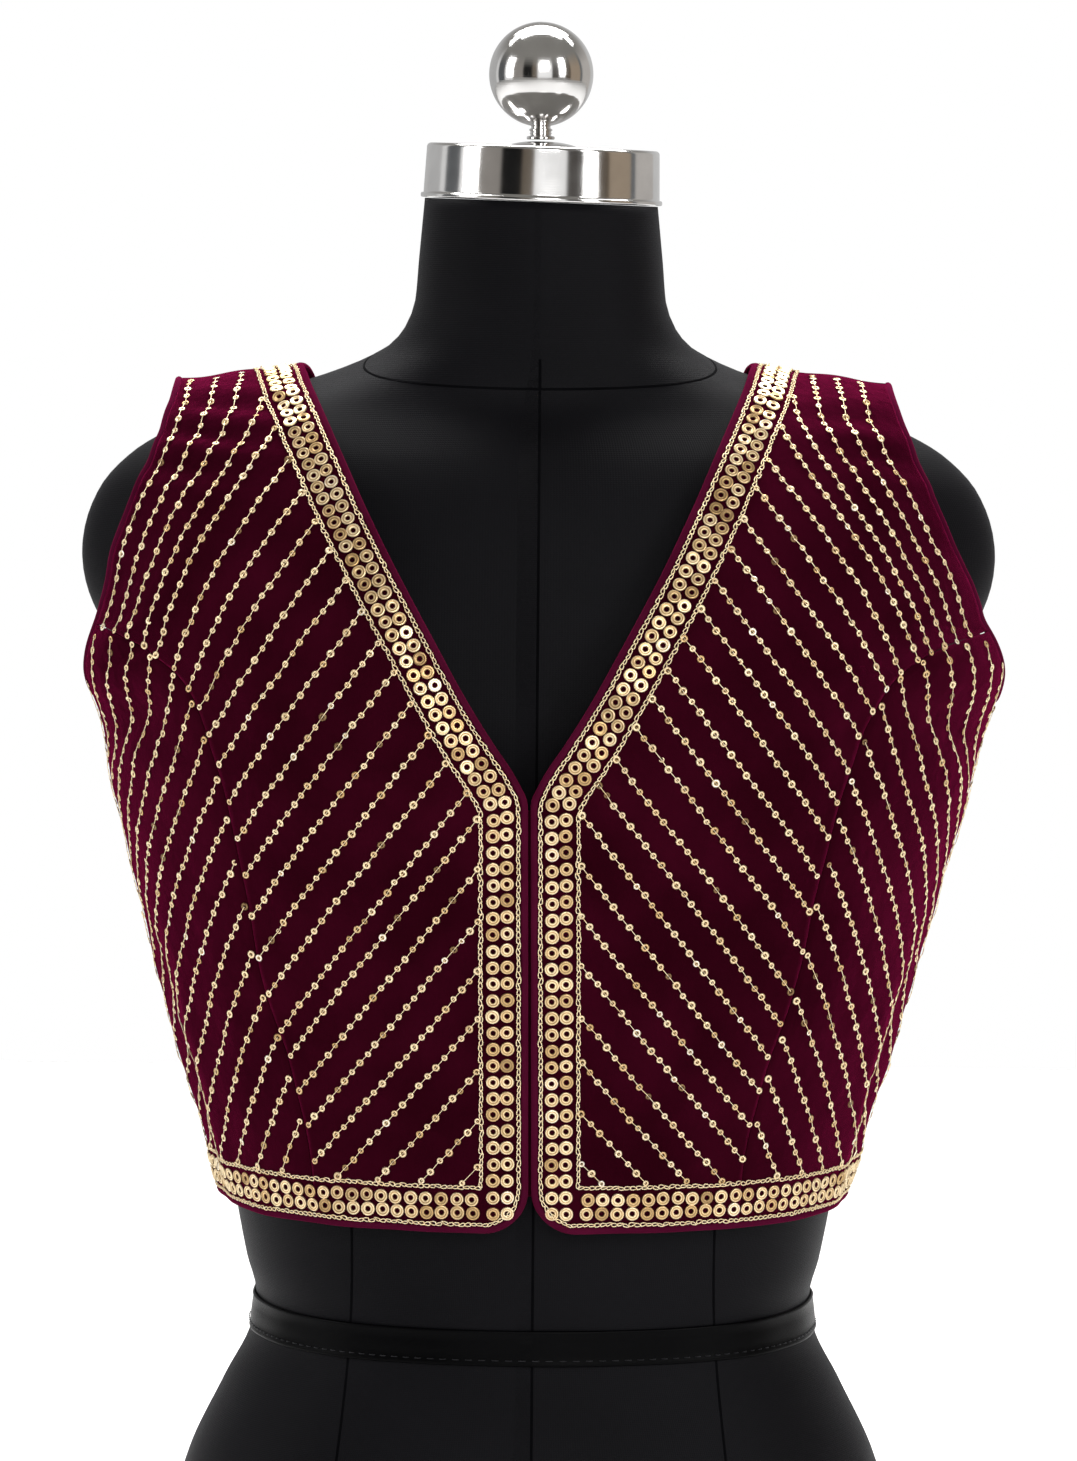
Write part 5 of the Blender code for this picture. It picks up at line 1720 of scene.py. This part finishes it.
@dataclass(frozen=True)
class GoldLines:
    """Slanting lines of small sequins, a large one and a smaller one in turn, joined by thread."""

    band: GoldBand = GoldBand()
    big_radius: float = 0.00184
    little_radius: float = 0.00150
    pitch: float = 0.0054
    thread_radius: float = 0.00020
    lift: float = 0.0004
    down_step: float = 0.001
    neck_step: float = 0.0125
    opening_step: float = 0.0217
    left_first: float = 0.4732
    right_first: float = 0.4708
    last_start: float = 0.652
    left_strap: float = 0.1217
    right_strap: float = 0.1296
    strap_step: float = 0.0110
    wander: float = 0.0005
    side_slant: float = 26.0
    side_step: float = 0.0145
    back_slant: float = 37.5
    back_step: float = 0.0164
    edge_margin: float = 0.0052
    seam_margin: float = 0.0014
    ridge_margin: float = 0.0008
    strap_lines: int = 3
    seeds: tuple[int, int] = (31, 32)
    swerve: float = 0.35
    swerve_out: float = 0.165
    swerve_height: float = 0.548

    def top(self, out: Array) -> Array:
        """The height of the shoulder ridge, this far out."""
        return SURFACE.bust + SURFACE.shoulder_rise(out)

    def heights(self) -> Array:
        """The heights that a line is worked out at, from the shoulder down."""
        low = SURFACE.hem + self.band.inner_chain + 0.001
        return np.arange(SURFACE.shoulder + 0.002, low, -self.down_step)

    def edge_turns(self, places: Array, heights: Array) -> Array:
        """Reads the turn of a rising edge at these heights."""
        z = SURFACE.outside(places)[:, 2]
        order = np.argsort(z)
        return np.interp(heights, z[order], places[order, 0])

    def radius_at(self, heights: Array) -> Array:
        """A rough distance from the axis to the cloth's side, to turn lengths into turns."""
        return smooth_values(CLOTH_RINGS, "half_width", heights) * 0.9

    def front_runs(self, side: int) -> list[Array]:
        """The lines of one centre front.

        Args:
            side: +1 for the wearer's left.

        Returns:
            The runs of places that lie within the panel.
        """
        heights = self.heights()
        inner_line = self.band.front_line(side, self.band.inner_chain + 0.0006)
        inner = self.edge_turns(inner_line, heights)
        inner_out = SURFACE.rings(SURFACE.climb_for(heights, 0.05))[0] * squared(inner)[0]
        near = self.radius_at(heights)
        seam = self.edge_turns(CUT.princess_seam(side), heights) - self.seam_margin / near
        armhole = self.edge_turns(CUT.armhole_edge()[0], heights) - self.edge_margin / near
        outer = np.where(heights < PRINCESS_SEAM[-1].height, seam, armhole)
        starts: list[tuple[float, float]] = []
        first = self.left_first if side > 0 else self.right_first
        low = SURFACE.hem + self.band.inner_chain + 0.004
        neck = np.arange(first, self.last_start, self.neck_step)
        opening = np.arange(first - self.opening_step, low, -self.opening_step)
        hand = np.random.default_rng(self.seeds[0] if side > 0 else self.seeds[1])
        for height in (*opening, *neck):
            start = float(height + hand.normal(0.0, self.wander))
            starts.append((start, float(np.interp(-start, -heights, inner_out))))
        strap = self.left_strap if side > 0 else self.right_strap
        for out in strap + self.strap_step * np.arange(self.strap_lines):
            starts.append((float(self.top(out)) - 0.0004, float(out)))
        shares = smooth_values(CLOTH_RINGS, "half_width", heights)
        leans = np.tan(np.radians(smooth_values(FRONT_SLANT, "left" if side > 0 else "right", heights)))
        runs = []
        for start, out in starts:
            xs = np.full(len(heights), out)
            for k in range(1, len(heights)):
                if heights[k] < start:
                    share = min(xs[k - 1] / shares[k], 0.98)
                    steep = (1 - share**3) ** 0.6
                    local = bell(xs[k - 1] - self.swerve_out, 0.03)
                    local = local * bell(heights[k] - self.swerve_height, 0.025)
                    xs[k] = xs[k - 1] + leans[k] * steep * (1 - self.swerve * local) * self.down_step
            places = SURFACE.place_for(heights, xs)
            inside = (heights <= start) & (places[:, 0] < outer) & (places[:, 0] > inner - 0.001)
            inside &= heights < self.top(xs) - self.ridge_margin
            runs += self.split(places, inside)
        return runs

    def chart_runs(self, side: int, region: Region) -> list[Array]:
        """The lines of a panel whose lines are straight in the flat cloth.

        Args:
            side: +1 for the wearer's left.
            region: The side front or the back.

        Returns:
            The runs of places that lie within the panel.
        """
        heights = self.heights()
        turns = np.linspace(0, HALF_TURN, 361)
        climbs = SURFACE.climb_for(heights, 0.12)
        grid = np.stack(np.broadcast_arrays(turns[None], climbs[:, None]), axis=-1)
        points = SURFACE.outside(grid)
        steps = np.linalg.norm(np.diff(points, axis=1), axis=2)
        walked = np.concatenate([np.zeros((len(heights), 1)), np.cumsum(steps, axis=1)], axis=1)
        near = self.radius_at(heights)
        margin, edge = self.seam_margin / near, self.edge_margin / near
        under = CUT.armhole_edge()[1]
        order = np.argsort(under[:, 0])
        arm_turn, arm_height = under[order, 0], SURFACE.outside(under[order])[:, 2]
        if region is Region.SIDE_FRONT:
            seam = self.edge_turns(CUT.princess_seam(side), heights) + margin
            slant, spacing, offset = self.side_slant, self.side_step, 0.004 if side > 0 else 0.009
            from_centre = walked
        else:
            back_arm = CUT.armhole_edge()[2]
            arm = self.edge_turns(back_arm, heights) + edge
            seam = np.where(heights < CUT.armpit, QUARTER_TURN + margin, arm)
            slant, spacing, offset = self.back_slant, self.back_step, 0.0
            from_centre = walked[:, -1:] - walked
            neck = self.band.back_line(self.band.inner_chain + 0.0008)
            neck = neck[: len(neck) // 2]
            neck_order = np.argsort(neck[:, 0])
            neck_turn, neck_height = neck[neck_order, 0], SURFACE.outside(neck[neck_order])[:, 2]
        lean = math.tan(math.radians(slant))
        runs = []
        for k in range(-40, 60):
            lengths = offset + k * spacing + lean * (0.5 - heights)
            turn = np.empty(len(heights))
            for j, length in enumerate(lengths):
                row = from_centre[j]
                if region is Region.SIDE_FRONT:
                    turn[j] = np.interp(length, row, turns)
                else:
                    turn[j] = np.interp(length, row[::-1], turns[::-1])
            out = SURFACE.rings(climbs)[0] * squared(turn)[0]
            places = np.stack([turn, SURFACE.climb_for(heights, out)], axis=-1)
            inside = (turn > seam) & (lengths > 0.0016)
            if region is Region.SIDE_FRONT:
                under_arm = np.interp(turn, arm_turn, arm_height) - 0.0055
                inside &= (turn < QUARTER_TURN - margin) & (heights < under_arm)
            else:
                limit = np.interp(turn, neck_turn, neck_height, left=1.0)
                inside &= (heights < limit) & (heights < self.top(out) - self.ridge_margin)
            runs += self.split(places, inside)
        return runs

    def split(self, places: Array, inside: Array) -> list[Array]:
        """Cuts a line into the runs that lie inside its panel."""
        edges = np.flatnonzero(np.diff(np.concatenate([[False], inside, [False]]).astype(int)))
        found = [places[a:b] for a, b in zip(edges[::2], edges[1::2])]
        return [run for run in found if len(run) > 6]

    def sew_runs(self, runs: list[Array], side: int, tray: SequinTray, spool: ThreadSpool) -> None:
        """Sews sequins and the thread between them along the runs.

        Args:
            runs: The lines.
            side: +1 for the wearer's left.
            tray: The sequins.
            spool: The thread.
        """
        random = tray.random
        for run in runs:
            run = sided(run, side)
            length = SURFACE.walked(run)[-1]
            steps = int(length / self.pitch)
            if steps < 1:
                continue
            places = SURFACE.spaced(run, steps)
            points, normals = SURFACE.axes(places, self.lift)
            points = points + random.normal(0.0, 0.00018, points.shape)
            first = int(random.integers(0, 2))
            big = (np.arange(len(points)) + first) % 2 == 0
            radii = np.where(big, self.big_radius, self.little_radius)
            radii = radii * random.uniform(0.93, 1.05, len(points))
            tray.add(points, normals, radii, 0.10)
            a, b = points[:-1], points[1:]
            n = unit(normals[:-1] + normals[1:])
            ra, rb = radii[:-1, None], radii[1:, None]
            way = unit(b - a)
            low, high = n * 0.0002, n * 0.0003
            from_rim, to_rim = a + way * ra * 0.95, b - way * rb * 0.95
            path = np.stack([a + low, from_rim + high, to_rim + high, b + low], axis=1)
            spool.run(path, n, False)

    def build(self, finishes: Finishes) -> None:
        """Sews all the lines on."""
        seed = 30
        for name, side in (("left", 1), ("right", -1)):
            for region in Region:
                seed += 1
                tray = SequinTray(SMALL_CUP, 10, seed, 0.03)
                spool = ThreadSpool(self.thread_radius, 4)
                runs = self.front_runs(side) if region is Region.FRONT else self.chart_runs(side, region)
                self.sew_runs(runs, side, tray, spool)
                tray.sew(f"line_sequins_{region.value}_{name}", finishes)
                spool.sew(f"line_thread_{region.value}_{name}", finishes)


@dataclass(frozen=True)
class DressForm:
    """The limbless form: covered torso, shoulder pads, waist ribbon, and chrome cap and ball."""

    segments: int = 128
    ring_step: float = 0.004
    neck_top: float = 0.7315
    tilt: float = math.radians(1.8)
    tilt_start: float = 0.700
    bust_out: float = 0.088
    ribbon_low: float = 0.2295
    ribbon_high: float = 0.2450
    ribbon_gap: float = 0.0004
    pad_height: float = 0.577
    pad_back: float = 0.004
    pad_half_depth: float = 0.052
    pad_half_height: float = 0.056
    pad_bulge: float = 0.0295
    pad_rim: float = 0.0025
    pad_gap: float = 0.0010
    cap_gap: float = 0.0004
    cap_radius: float = 0.0520
    cap_lip_radius: float = 0.0534
    cap_lip_height: float = 0.0022
    cap_height: float = 0.0240
    cap_dome: float = 0.0024
    cap_dome_radius: float = 0.0150
    stem_radius: float = 0.0046
    collar_radius: float = 0.0062
    stem_length: float = 0.0050
    finial_out: float = -0.0005
    ball_radius: float = 0.0230

    def point(self, turn: Array, height: Array, lift: Array = 0.0) -> Array:
        """Points of the form's skin, or above it by the lift."""
        turn = wrapped(np.asarray(turn, float))
        across, ahead = squared(turn)
        half_width = smooth_values(FORM_RINGS, "half_width", height) + lift
        front = smooth_values(FORM_RINGS, "front", height)
        back = smooth_values(FORM_RINGS, "back", height)
        x = half_width * across
        y = -(np.where(ahead > 0, front, back) + lift) * ahead
        swell = 0.017 * ahead * bell(np.abs(x) - self.bust_out, 0.040) * bell(height - 0.5, 0.045)
        y = y - np.where(ahead > 0, swell, 0.0)
        lean = np.maximum(0.0, height - self.tilt_start) / (self.neck_top - self.tilt_start)
        z = height - x * math.tan(self.tilt) * lean
        return np.stack(np.broadcast_arrays(x, y, z), axis=-1)

    def build_torso(self, finishes: Finishes) -> None:
        """Makes the covered torso and neck."""
        heights = []
        for low, high in zip(FORM_RINGS, FORM_RINGS[1:]):
            steps = max(int((high.height - low.height) / self.ring_step), 2)
            heights += list(np.linspace(low.height, high.height, steps, endpoint=False))
        heights = np.array([*heights, self.neck_top])
        turns = 2 * math.pi * np.arange(self.segments) / self.segments
        points = self.point(turns[None], heights[:, None])
        flat = np.stack(np.broadcast_arrays(turns[None] * 0.12, heights[:, None]), axis=-1)
        faces = grid_faces(len(heights), self.segments, closed=True)
        shape = points.reshape(-1, 3)
        ends = np.array([[0.0, 0.0, 0.0], [0.0, 0.0, self.neck_top]])
        count = len(shape)
        half = np.arange(0, self.segments, 2)
        base = (len(heights) - 1) * self.segments
        low = np.stack([np.full(len(half), count), (half + 2) % self.segments, half + 1, half], -1)
        after = (half + 2) % self.segments
        high = np.stack([np.full(len(half), count + 1), base + half, base + half + 1, base + after], -1)
        flat = np.concatenate([flat.reshape(-1, 2), [[0.0, 0.0], [0.0, self.neck_top]]])
        obj = make_piece(
            "form_torso_cover", np.concatenate([shape, ends]), np.concatenate([faces, low, high]),
            finishes.jersey, uv=flat,
        )
        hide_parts("form_torso")

    def seam(self, turns: Array, heights: Array) -> tuple[Array, Array]:
        """Makes a seam's two low lips and the valley between them, along a line on the skin.

        Args:
            turns: The line's turns.
            heights: The line's heights.

        Returns:
            The points and the faces.
        """
        skin = self.point(turns, heights)
        beside = self.point(turns + 0.01, heights)
        above = self.point(turns, heights + 0.001)
        normal = unit(np.cross(beside - skin, above - skin))
        along = unit(np.gradient(skin, axis=0))
        across = np.cross(normal, along)
        outs = np.array([-0.0008, -0.0004, 0.0, 0.0004, 0.0008])
        lifts = np.array([-0.0002, 0.00018, 0.00004, 0.00018, -0.0002])
        points = skin[:, None] + outs[None, :, None] * across[:, None]
        points = points + lifts[None, :, None] * normal[:, None]
        return points.reshape(-1, 3), grid_faces(len(turns), 5)

    def build_seams(self, finishes: Finishes) -> None:
        """Makes the seams of the form's cover: centre, princess, sides and neck."""
        lines = []
        upright = np.linspace(0.002, 0.664, 170)
        lines.append((np.zeros(len(upright)), upright))
        lines.append((np.full(len(upright), HALF_TURN), upright))
        for side in (1, -1):
            for back in (False, True):
                out = 0.0815 + 0.012 * bell(upright - 0.08, 0.12) - 0.004 * bell(upright - 0.25, 0.08)
                out = out + 0.012 * np.clip((upright - 0.45) / 0.18, 0, 1)
                top = upright < 0.636
                share = out / smooth_values(FORM_RINGS, "half_width", upright)
                turn = turn_for(np.minimum(share, 0.97))
                turn = HALF_TURN - turn if back else turn
                lines.append((side * turn[top], upright[top]))
            low = upright < 0.60
            lines.append((np.full(low.sum(), side * QUARTER_TURN), upright[low]))
        round_turn = np.linspace(-HALF_TURN, HALF_TURN, 160)
        dip = 0.0235 * (0.5 + 0.5 * np.cos(round_turn)) ** 1.3
        lines.append((round_turn, 0.6745 - dip))
        points, faces, start = [], [], 0
        for turns, heights in lines:
            here, quads = self.seam(turns, heights)
            points.append(here)
            faces.append(quads + start)
            start += len(here)
        shape = np.concatenate(points)
        make_piece("form_seams", shape, np.concatenate(faces), finishes.seam)

    def skin_out(self, y: Array, height: Array) -> Array:
        """How far the form's side stands from the centre plane, this far behind the axis."""
        front = smooth_values(FORM_RINGS, "front", height)
        back = smooth_values(FORM_RINGS, "back", height)
        share = np.minimum(np.abs(y) / np.where(y < 0, front, back), 1.0)
        turn = QUARTER_TURN - turn_for(share)
        return smooth_values(FORM_RINGS, "half_width", height) * squared(turn)[0]

    def build_pad(self, name: str, side: int, finishes: Finishes) -> None:
        """Makes the rounded shoulder of one side."""
        shares = np.sin(np.linspace(0, QUARTER_TURN, 18))
        shares[0] = 0.0
        angles = 2 * math.pi * np.arange(64) / 64
        y = self.pad_back + self.pad_half_depth * shares[:, None] * np.cos(angles)[None]
        height = self.pad_height + self.pad_half_height * shares[:, None] * np.sin(angles)[None]
        base = self.skin_out(y, height) + self.pad_gap
        dome = self.pad_rim + self.pad_bulge * (1 - shares[:, None] ** 2)
        outer = np.stack([side * (base + dome), y, height], axis=-1)
        inner = np.stack([side * base, y, height], axis=-1)
        points = np.concatenate([outer, inner[::-1]])
        flat = np.concatenate([np.stack([y, height], -1), np.stack([y, height], -1)[::-1]])
        faces = grid_faces(len(points), 64, flipped=side < 0, closed=True)
        obj = make_piece(f"form_pad_{name}_cover", points, faces, finishes.jersey, uv=flat)
        weld = obj.modifiers.new("Join", "WELD")
        weld.merge_threshold = 0.00002
        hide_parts(f"form_pad_{name}")

    def build_ribbon(self, finishes: Finishes) -> None:
        """Makes the satin ribbon round the waist, with its woven edges and its stitching."""
        turns = 2 * math.pi * np.arange(160) / 160
        rows = np.array([0.0, 0.05, 0.10, 0.35, 0.65, 0.90, 0.95, 1.0])
        lifts = np.array([0.0006, 0.0010, 0.0007, 0.0010, 0.0010, 0.0007, 0.0010, 0.0006])
        heights = self.ribbon_low + (self.ribbon_high - self.ribbon_low) * rows
        wave = 0.00022 * np.sin(turns * 9 + 1.0) + 0.00018 * np.sin(turns * 17)
        outer = self.point(turns[None], heights[:, None], self.ribbon_gap + lifts[:, None] + wave[None])
        inner = self.point(turns[None], heights[:, None], self.ribbon_gap - 0.0002)
        points = np.concatenate([outer, inner[::-1]])
        there_and_back = np.concatenate([heights, heights[::-1]])
        flat = np.stack(np.broadcast_arrays(turns[None] * 0.12, there_and_back[:, None]), -1)
        faces = grid_faces(len(points), 160, closed=True)
        faces = np.concatenate([faces, closing_faces(len(points), 160)])
        obj = make_piece("waist_ribbon", points, faces, finishes.ribbon, uv=flat)
        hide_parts("form_ribbon")
        self.build_ribbon_stitches(finishes)

    def build_ribbon_stitches(self, finishes: Finishes) -> None:
        """Makes the line of stitches near the ribbon's lower edge."""
        count = 150
        starts = 2 * math.pi * np.arange(count) / count
        share = np.linspace(0, 0.022, 4)
        turns = starts[:, None] + share[None]
        height = self.ribbon_low + 0.0026
        bow = np.array([-0.0001, 0.0003, 0.0003, -0.0001])
        lines = self.point(turns, np.full(turns.shape, height), self.ribbon_gap + 0.0011 + bow[None])
        normals = unit(lines[:, 1] * np.array([1.0, 1.0, 0.0]))
        spool = ThreadSpool(0.00022, 4)
        spool.run(lines, normals, False)
        shape, faces = np.concatenate(spool.points), np.concatenate(spool.faces)
        make_piece("ribbon_stitches", shape, faces, finishes.stitch)

    def lathe(
        self, name: str, profile: Sequence[tuple[float, float]], matrix: Matrix, finishes: Finishes
    ) -> bpy.types.Object:
        """Turns a profile into a solid of revolution.

        Args:
            name: The piece's name.
            profile: Its radii and heights, from the axis to the axis.
            matrix: Where it stands.
            finishes: The part's finishes.

        Returns:
            The object.
        """
        radii, heights = np.array(profile).T
        angles = 2 * math.pi * np.arange(144) / 144
        ring = np.stack([np.cos(angles), np.sin(angles), np.zeros(144)], axis=-1)
        points = radii[:, None, None] * ring[None] + heights[:, None, None] * np.array([0.0, 0.0, 1.0])
        flat = points.reshape(-1, 3)
        turned = flat @ np.array(matrix.to_3x3()).T + np.array(matrix.translation)
        faces = grid_faces(len(profile), 144, closed=True)
        obj = make_piece(name, turned, faces, finishes.chrome)
        weld = obj.modifiers.new("Join", "WELD")
        weld.merge_threshold = 0.00002
        return obj

    def cap_profile(self) -> list[tuple[float, float]]:
        """The section of the neck cap, with a rolled lip and a softened top edge."""
        dome = self.cap_height + self.cap_dome
        lip, lip_height = self.cap_lip_radius, self.cap_lip_height
        profile = [(0.0, 0.0), (lip - 0.0007, 0.0), (lip - 0.0002, 0.0002), (lip, 0.0007)]
        wall, corner = self.cap_radius + 0.0002, 0.0018
        rise = self.cap_height - corner - lip_height
        profile += [(lip, lip_height - 0.0006), (lip - 0.0003, lip_height - 0.0001), (wall, lip_height)]
        profile += [
            (wall - 0.0008 * share, lip_height + rise * share) for share in np.linspace(0.04, 1, 12)
        ]
        for angle in np.linspace(0.15, QUARTER_TURN, 9):
            radius = self.cap_radius - 0.0006 - corner * (1 - math.cos(angle))
            profile.append((radius, self.cap_height - corner * (1 - math.sin(angle))))
        flat = np.linspace(self.cap_radius - 0.004, self.cap_dome_radius, 8)
        profile += [(r, self.cap_height + 0.0004 * (1 - r / self.cap_radius)) for r in flat]
        foot = self.cap_height + 0.0004
        for share in np.linspace(0.0, 1.0, 12)[1:]:
            radius = self.cap_dome_radius * (1 - share)
            profile.append((radius, foot + (dome - foot) * (1 - (1 - share) ** 2.6)))
        return profile

    def finial_profile(self) -> list[tuple[float, float]]:
        """The section of the stem, its collar and the ball."""
        base = self.stem_length + 0.0006
        stem, collar = self.stem_radius, self.collar_radius
        profile = [
            (0.0, 0.0), (collar - 0.0004, 0.0), (collar, 0.0003), (collar, 0.0011),
            (collar - 0.0004, 0.0014), (stem, 0.0016), (stem, 0.0024), (stem * 1.08, 0.0027),
            (stem, 0.0030), (stem, 0.0036), (stem * 1.12, 0.0040), (stem * 1.10, 0.0045),
            (stem * 0.92, 0.0050),
        ]
        for angle in np.linspace(0.19, math.pi, 72):
            height = base + self.ball_radius * (1 - math.cos(angle))
            profile.append((self.ball_radius * math.sin(angle), height))
        profile[-1] = (0.0, profile[-1][1])
        return profile

    def build_metal(self, finishes: Finishes) -> None:
        """Makes the chrome cap and the ball on its stem."""
        raised = Matrix.Translation((0.0, 0.0, self.neck_top + self.cap_gap))
        place = raised @ Matrix.Rotation(self.tilt, 4, "Y")
        cap = self.lathe("neck_cap", self.cap_profile(), place, finishes)
        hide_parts("form_cap")
        top = self.neck_top + 3 * self.cap_gap + self.cap_height + self.cap_dome
        place = Matrix.Translation((self.finial_out, 0.0, top))
        ball = self.lathe("ball_finial", self.finial_profile(), place, finishes)
        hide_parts("form_finial")

    def build(self, finishes: Finishes) -> None:
        """Makes the whole form."""
        self.build_torso(finishes)
        self.build_seams(finishes)
        self.build_pad("left", 1, finishes)
        self.build_pad("right", -1, finishes)
        self.build_ribbon(finishes)
        self.build_metal(finishes)
        log.info("dress form: cover, seams, pads, ribbon, cap and ball")


@dataclass(frozen=True)
class Studio:
    """A pale floor in a white room, soft lights, and the camera."""

    paper: bpy.types.Material
    width: float = 9.0
    near: float = -4.5
    back: float = 2.2
    camera_at: tuple[float, float, float] = (0.0006, -2.5055, 0.74)
    aim: tuple[float, float, float] = (0.0006, 0.0, 0.497)
    roll: float = math.radians(0.46)
    focal_pixels: float = 5645.0
    image: tuple[int, int] = (1077, 1461)
    soft_edge: float = 1.2
    room_light: float = 0.8

    def add_paper(self, name: str, profile: Sequence[tuple[float, float]], width: float) -> None:
        """Adds a sheet of pale paper over a side profile.

        Args:
            name: Its name.
            profile: Its depths and heights, from the front.
            width: Its width.
        """
        points = [(x, y, z) for y, z in profile for x in (-width / 2, width / 2)]
        mesh = bpy.data.meshes.new(name)
        mesh.from_pydata(points, [], grid_faces(len(profile), 2).tolist())
        mesh.polygons.foreach_set("use_smooth", np.ones(len(mesh.polygons), bool))
        mesh.materials.append(self.paper)
        paper = bpy.data.objects.new(name, mesh)
        bpy.context.scene.collection.objects.link(paper)

    def build_floor(self) -> None:
        """Makes the floor."""
        self.add_paper("floor", [(self.near, 0.0), (self.back, 0.0)], self.width)

    def add_light(
        self, name: str, at: Sequence[float], aim: Sequence[float], size: Sequence[float], power: float
    ) -> None:
        """Adds a soft rectangular light.

        Args:
            name: Its name.
            at: Where it stands.
            aim: What it points at.
            size: Its width and height.
            power: Its strength in watts.
        """
        data = bpy.data.lights.new(name, "AREA")
        data.shape = "RECTANGLE"
        data.size, data.size_y = size
        data.energy = power
        lamp = bpy.data.objects.new(name, data)
        lamp.location = at
        lamp.rotation_euler = (Vector(aim) - Vector(at)).to_track_quat("-Z", "Y").to_euler()
        bpy.context.scene.collection.objects.link(lamp)

    def build_lights(self) -> None:
        """Adds the soft boxes, and the lamp that washes the floor."""
        middle = (0.0, 0.0, 0.5)
        self.add_light("left_box", (-2.4, -0.7, 1.3), middle, (0.8, 1.6), 17.0)
        self.add_light("right_box", (1.9, -1.7, 1.4), middle, (0.6, 1.6), 24.0)
        self.add_light("front_box", (0.35, -2.9, 1.7), middle, (1.0, 1.0), 27.0)
        self.add_light("top_box", (0.0, 0.75, 2.3), middle, (1.8, 1.0), 60.0)
        self.add_light("floor_wash", (0.0, 1.0, 2.7), (0.0, 1.9, 0.0), (4.0, 0.6), 70.0)

    def stripe_stops(self) -> list[tuple[float, Colour]]:
        """The room's stripes as stops of a colour ramp, each with a soft edge."""
        stops = []
        for stripe, after in zip(ROOM, (*ROOM[1:], Stripe(180.0, 0.0, 0.0))):
            light, tint = stripe.light, WARM_TINT * stripe.warmth
            colour = (light * (1 + tint), light, light * (1 - tint))
            for degrees in (stripe.azimuth + self.soft_edge, after.azimuth - self.soft_edge):
                stops.append(((degrees + 180) / 360, colour))
        return stops

    def build_room(self) -> None:
        """Makes the studio round it: stripes at eye level, and plain white to the camera."""
        desk = RoomDesk("studio_room")
        parts = desk.add("ShaderNodeSeparateXYZ")
        desk.link(desk.add("ShaderNodeTexCoord").outputs["Generated"], parts.inputs[0])
        azimuth = desk.math("ARCTAN2", parts.outputs["X"], desk.math("MULTIPLY", parts.outputs["Y"], -1.0))
        share = desk.add("ShaderNodeMapRange", {"From Min": -math.pi, "From Max": math.pi})
        desk.link(azimuth, share.inputs["Value"])
        stripes = desk.ramp(share.outputs["Result"], self.stripe_stops())
        stripes.node.color_ramp.interpolation = "EASE"
        height = desk.add("ShaderNodeMapRange", {"From Min": -1.0})
        desk.link(parts.outputs["Z"], height.inputs["Value"])
        levels = [(stop, (level, level, level)) for stop, level in EYE_LEVELS]
        mix = desk.add("ShaderNodeMix", data_type="RGBA")
        desk.link(desk.ramp(height.outputs["Result"], levels), mix.inputs[0])
        mix.inputs[6].default_value = DIM_ROOM
        desk.link(stripes, mix.inputs[7])
        desk.link(mix.outputs[2], desk.shader.inputs["Color"])
        desk.set(Strength=self.room_light)
        plain = desk.add("ShaderNodeBackground", {"Color": (1.0, 1.0, 1.0, 1.0)})
        chosen = desk.add("ShaderNodeMixShader")
        ray = desk.add("ShaderNodeLightPath").outputs["Is Camera Ray"]
        for source, target in zip((ray, desk.shader.outputs[0], plain.outputs[0]), chosen.inputs):
            desk.link(source, target)
        desk.link(chosen.outputs[0], desk.tree.nodes["World Output"].inputs["Surface"])
        bpy.context.scene.world = desk.world
        bpy.context.scene.view_settings.view_transform = "Standard"

    def build_camera(self) -> None:
        """Sets the camera at the photograph's angle."""
        at, aim = Vector(self.camera_at), Vector(self.aim)
        forward = (aim - at).normalized()
        right = forward.cross(Vector((0.0, 0.0, 1.0))).normalized()
        up = right.cross(forward)
        cos, sin = math.cos(self.roll), math.sin(self.roll)
        across, upright = right * cos + up * sin, up * cos - right * sin
        data = bpy.data.cameras.new("camera")
        data.sensor_width = 36.0
        data.lens = self.focal_pixels * 36.0 / max(self.image)
        data.clip_start, data.clip_end = 0.05, 50.0
        camera = bpy.data.objects.new("camera", data)
        turned = Matrix((across, upright, -forward)).transposed().to_4x4()
        camera.matrix_world = Matrix.Translation(at) @ turned
        bpy.context.scene.collection.objects.link(camera)
        bpy.context.scene.camera = camera

    def build(self) -> None:
        """Sets up floor, lights and camera."""
        self.build_floor()
        self.build_lights()
        self.build_room()
        self.build_camera()
        log.info("studio: floor, lights and camera")


def main() -> None:
    """Builds every sub-assembly in order."""
    logging.basicConfig(level=logging.INFO, format="%(message)s")
    Studio(PaperFloor().material()).build()
    finishes = Finishes.made()
    DressForm().build(finishes)
    Blouse().build(finishes)
    GoldBand().build(finishes)
    GoldLines().build(finishes)


if __name__ == "__main__":
    main()
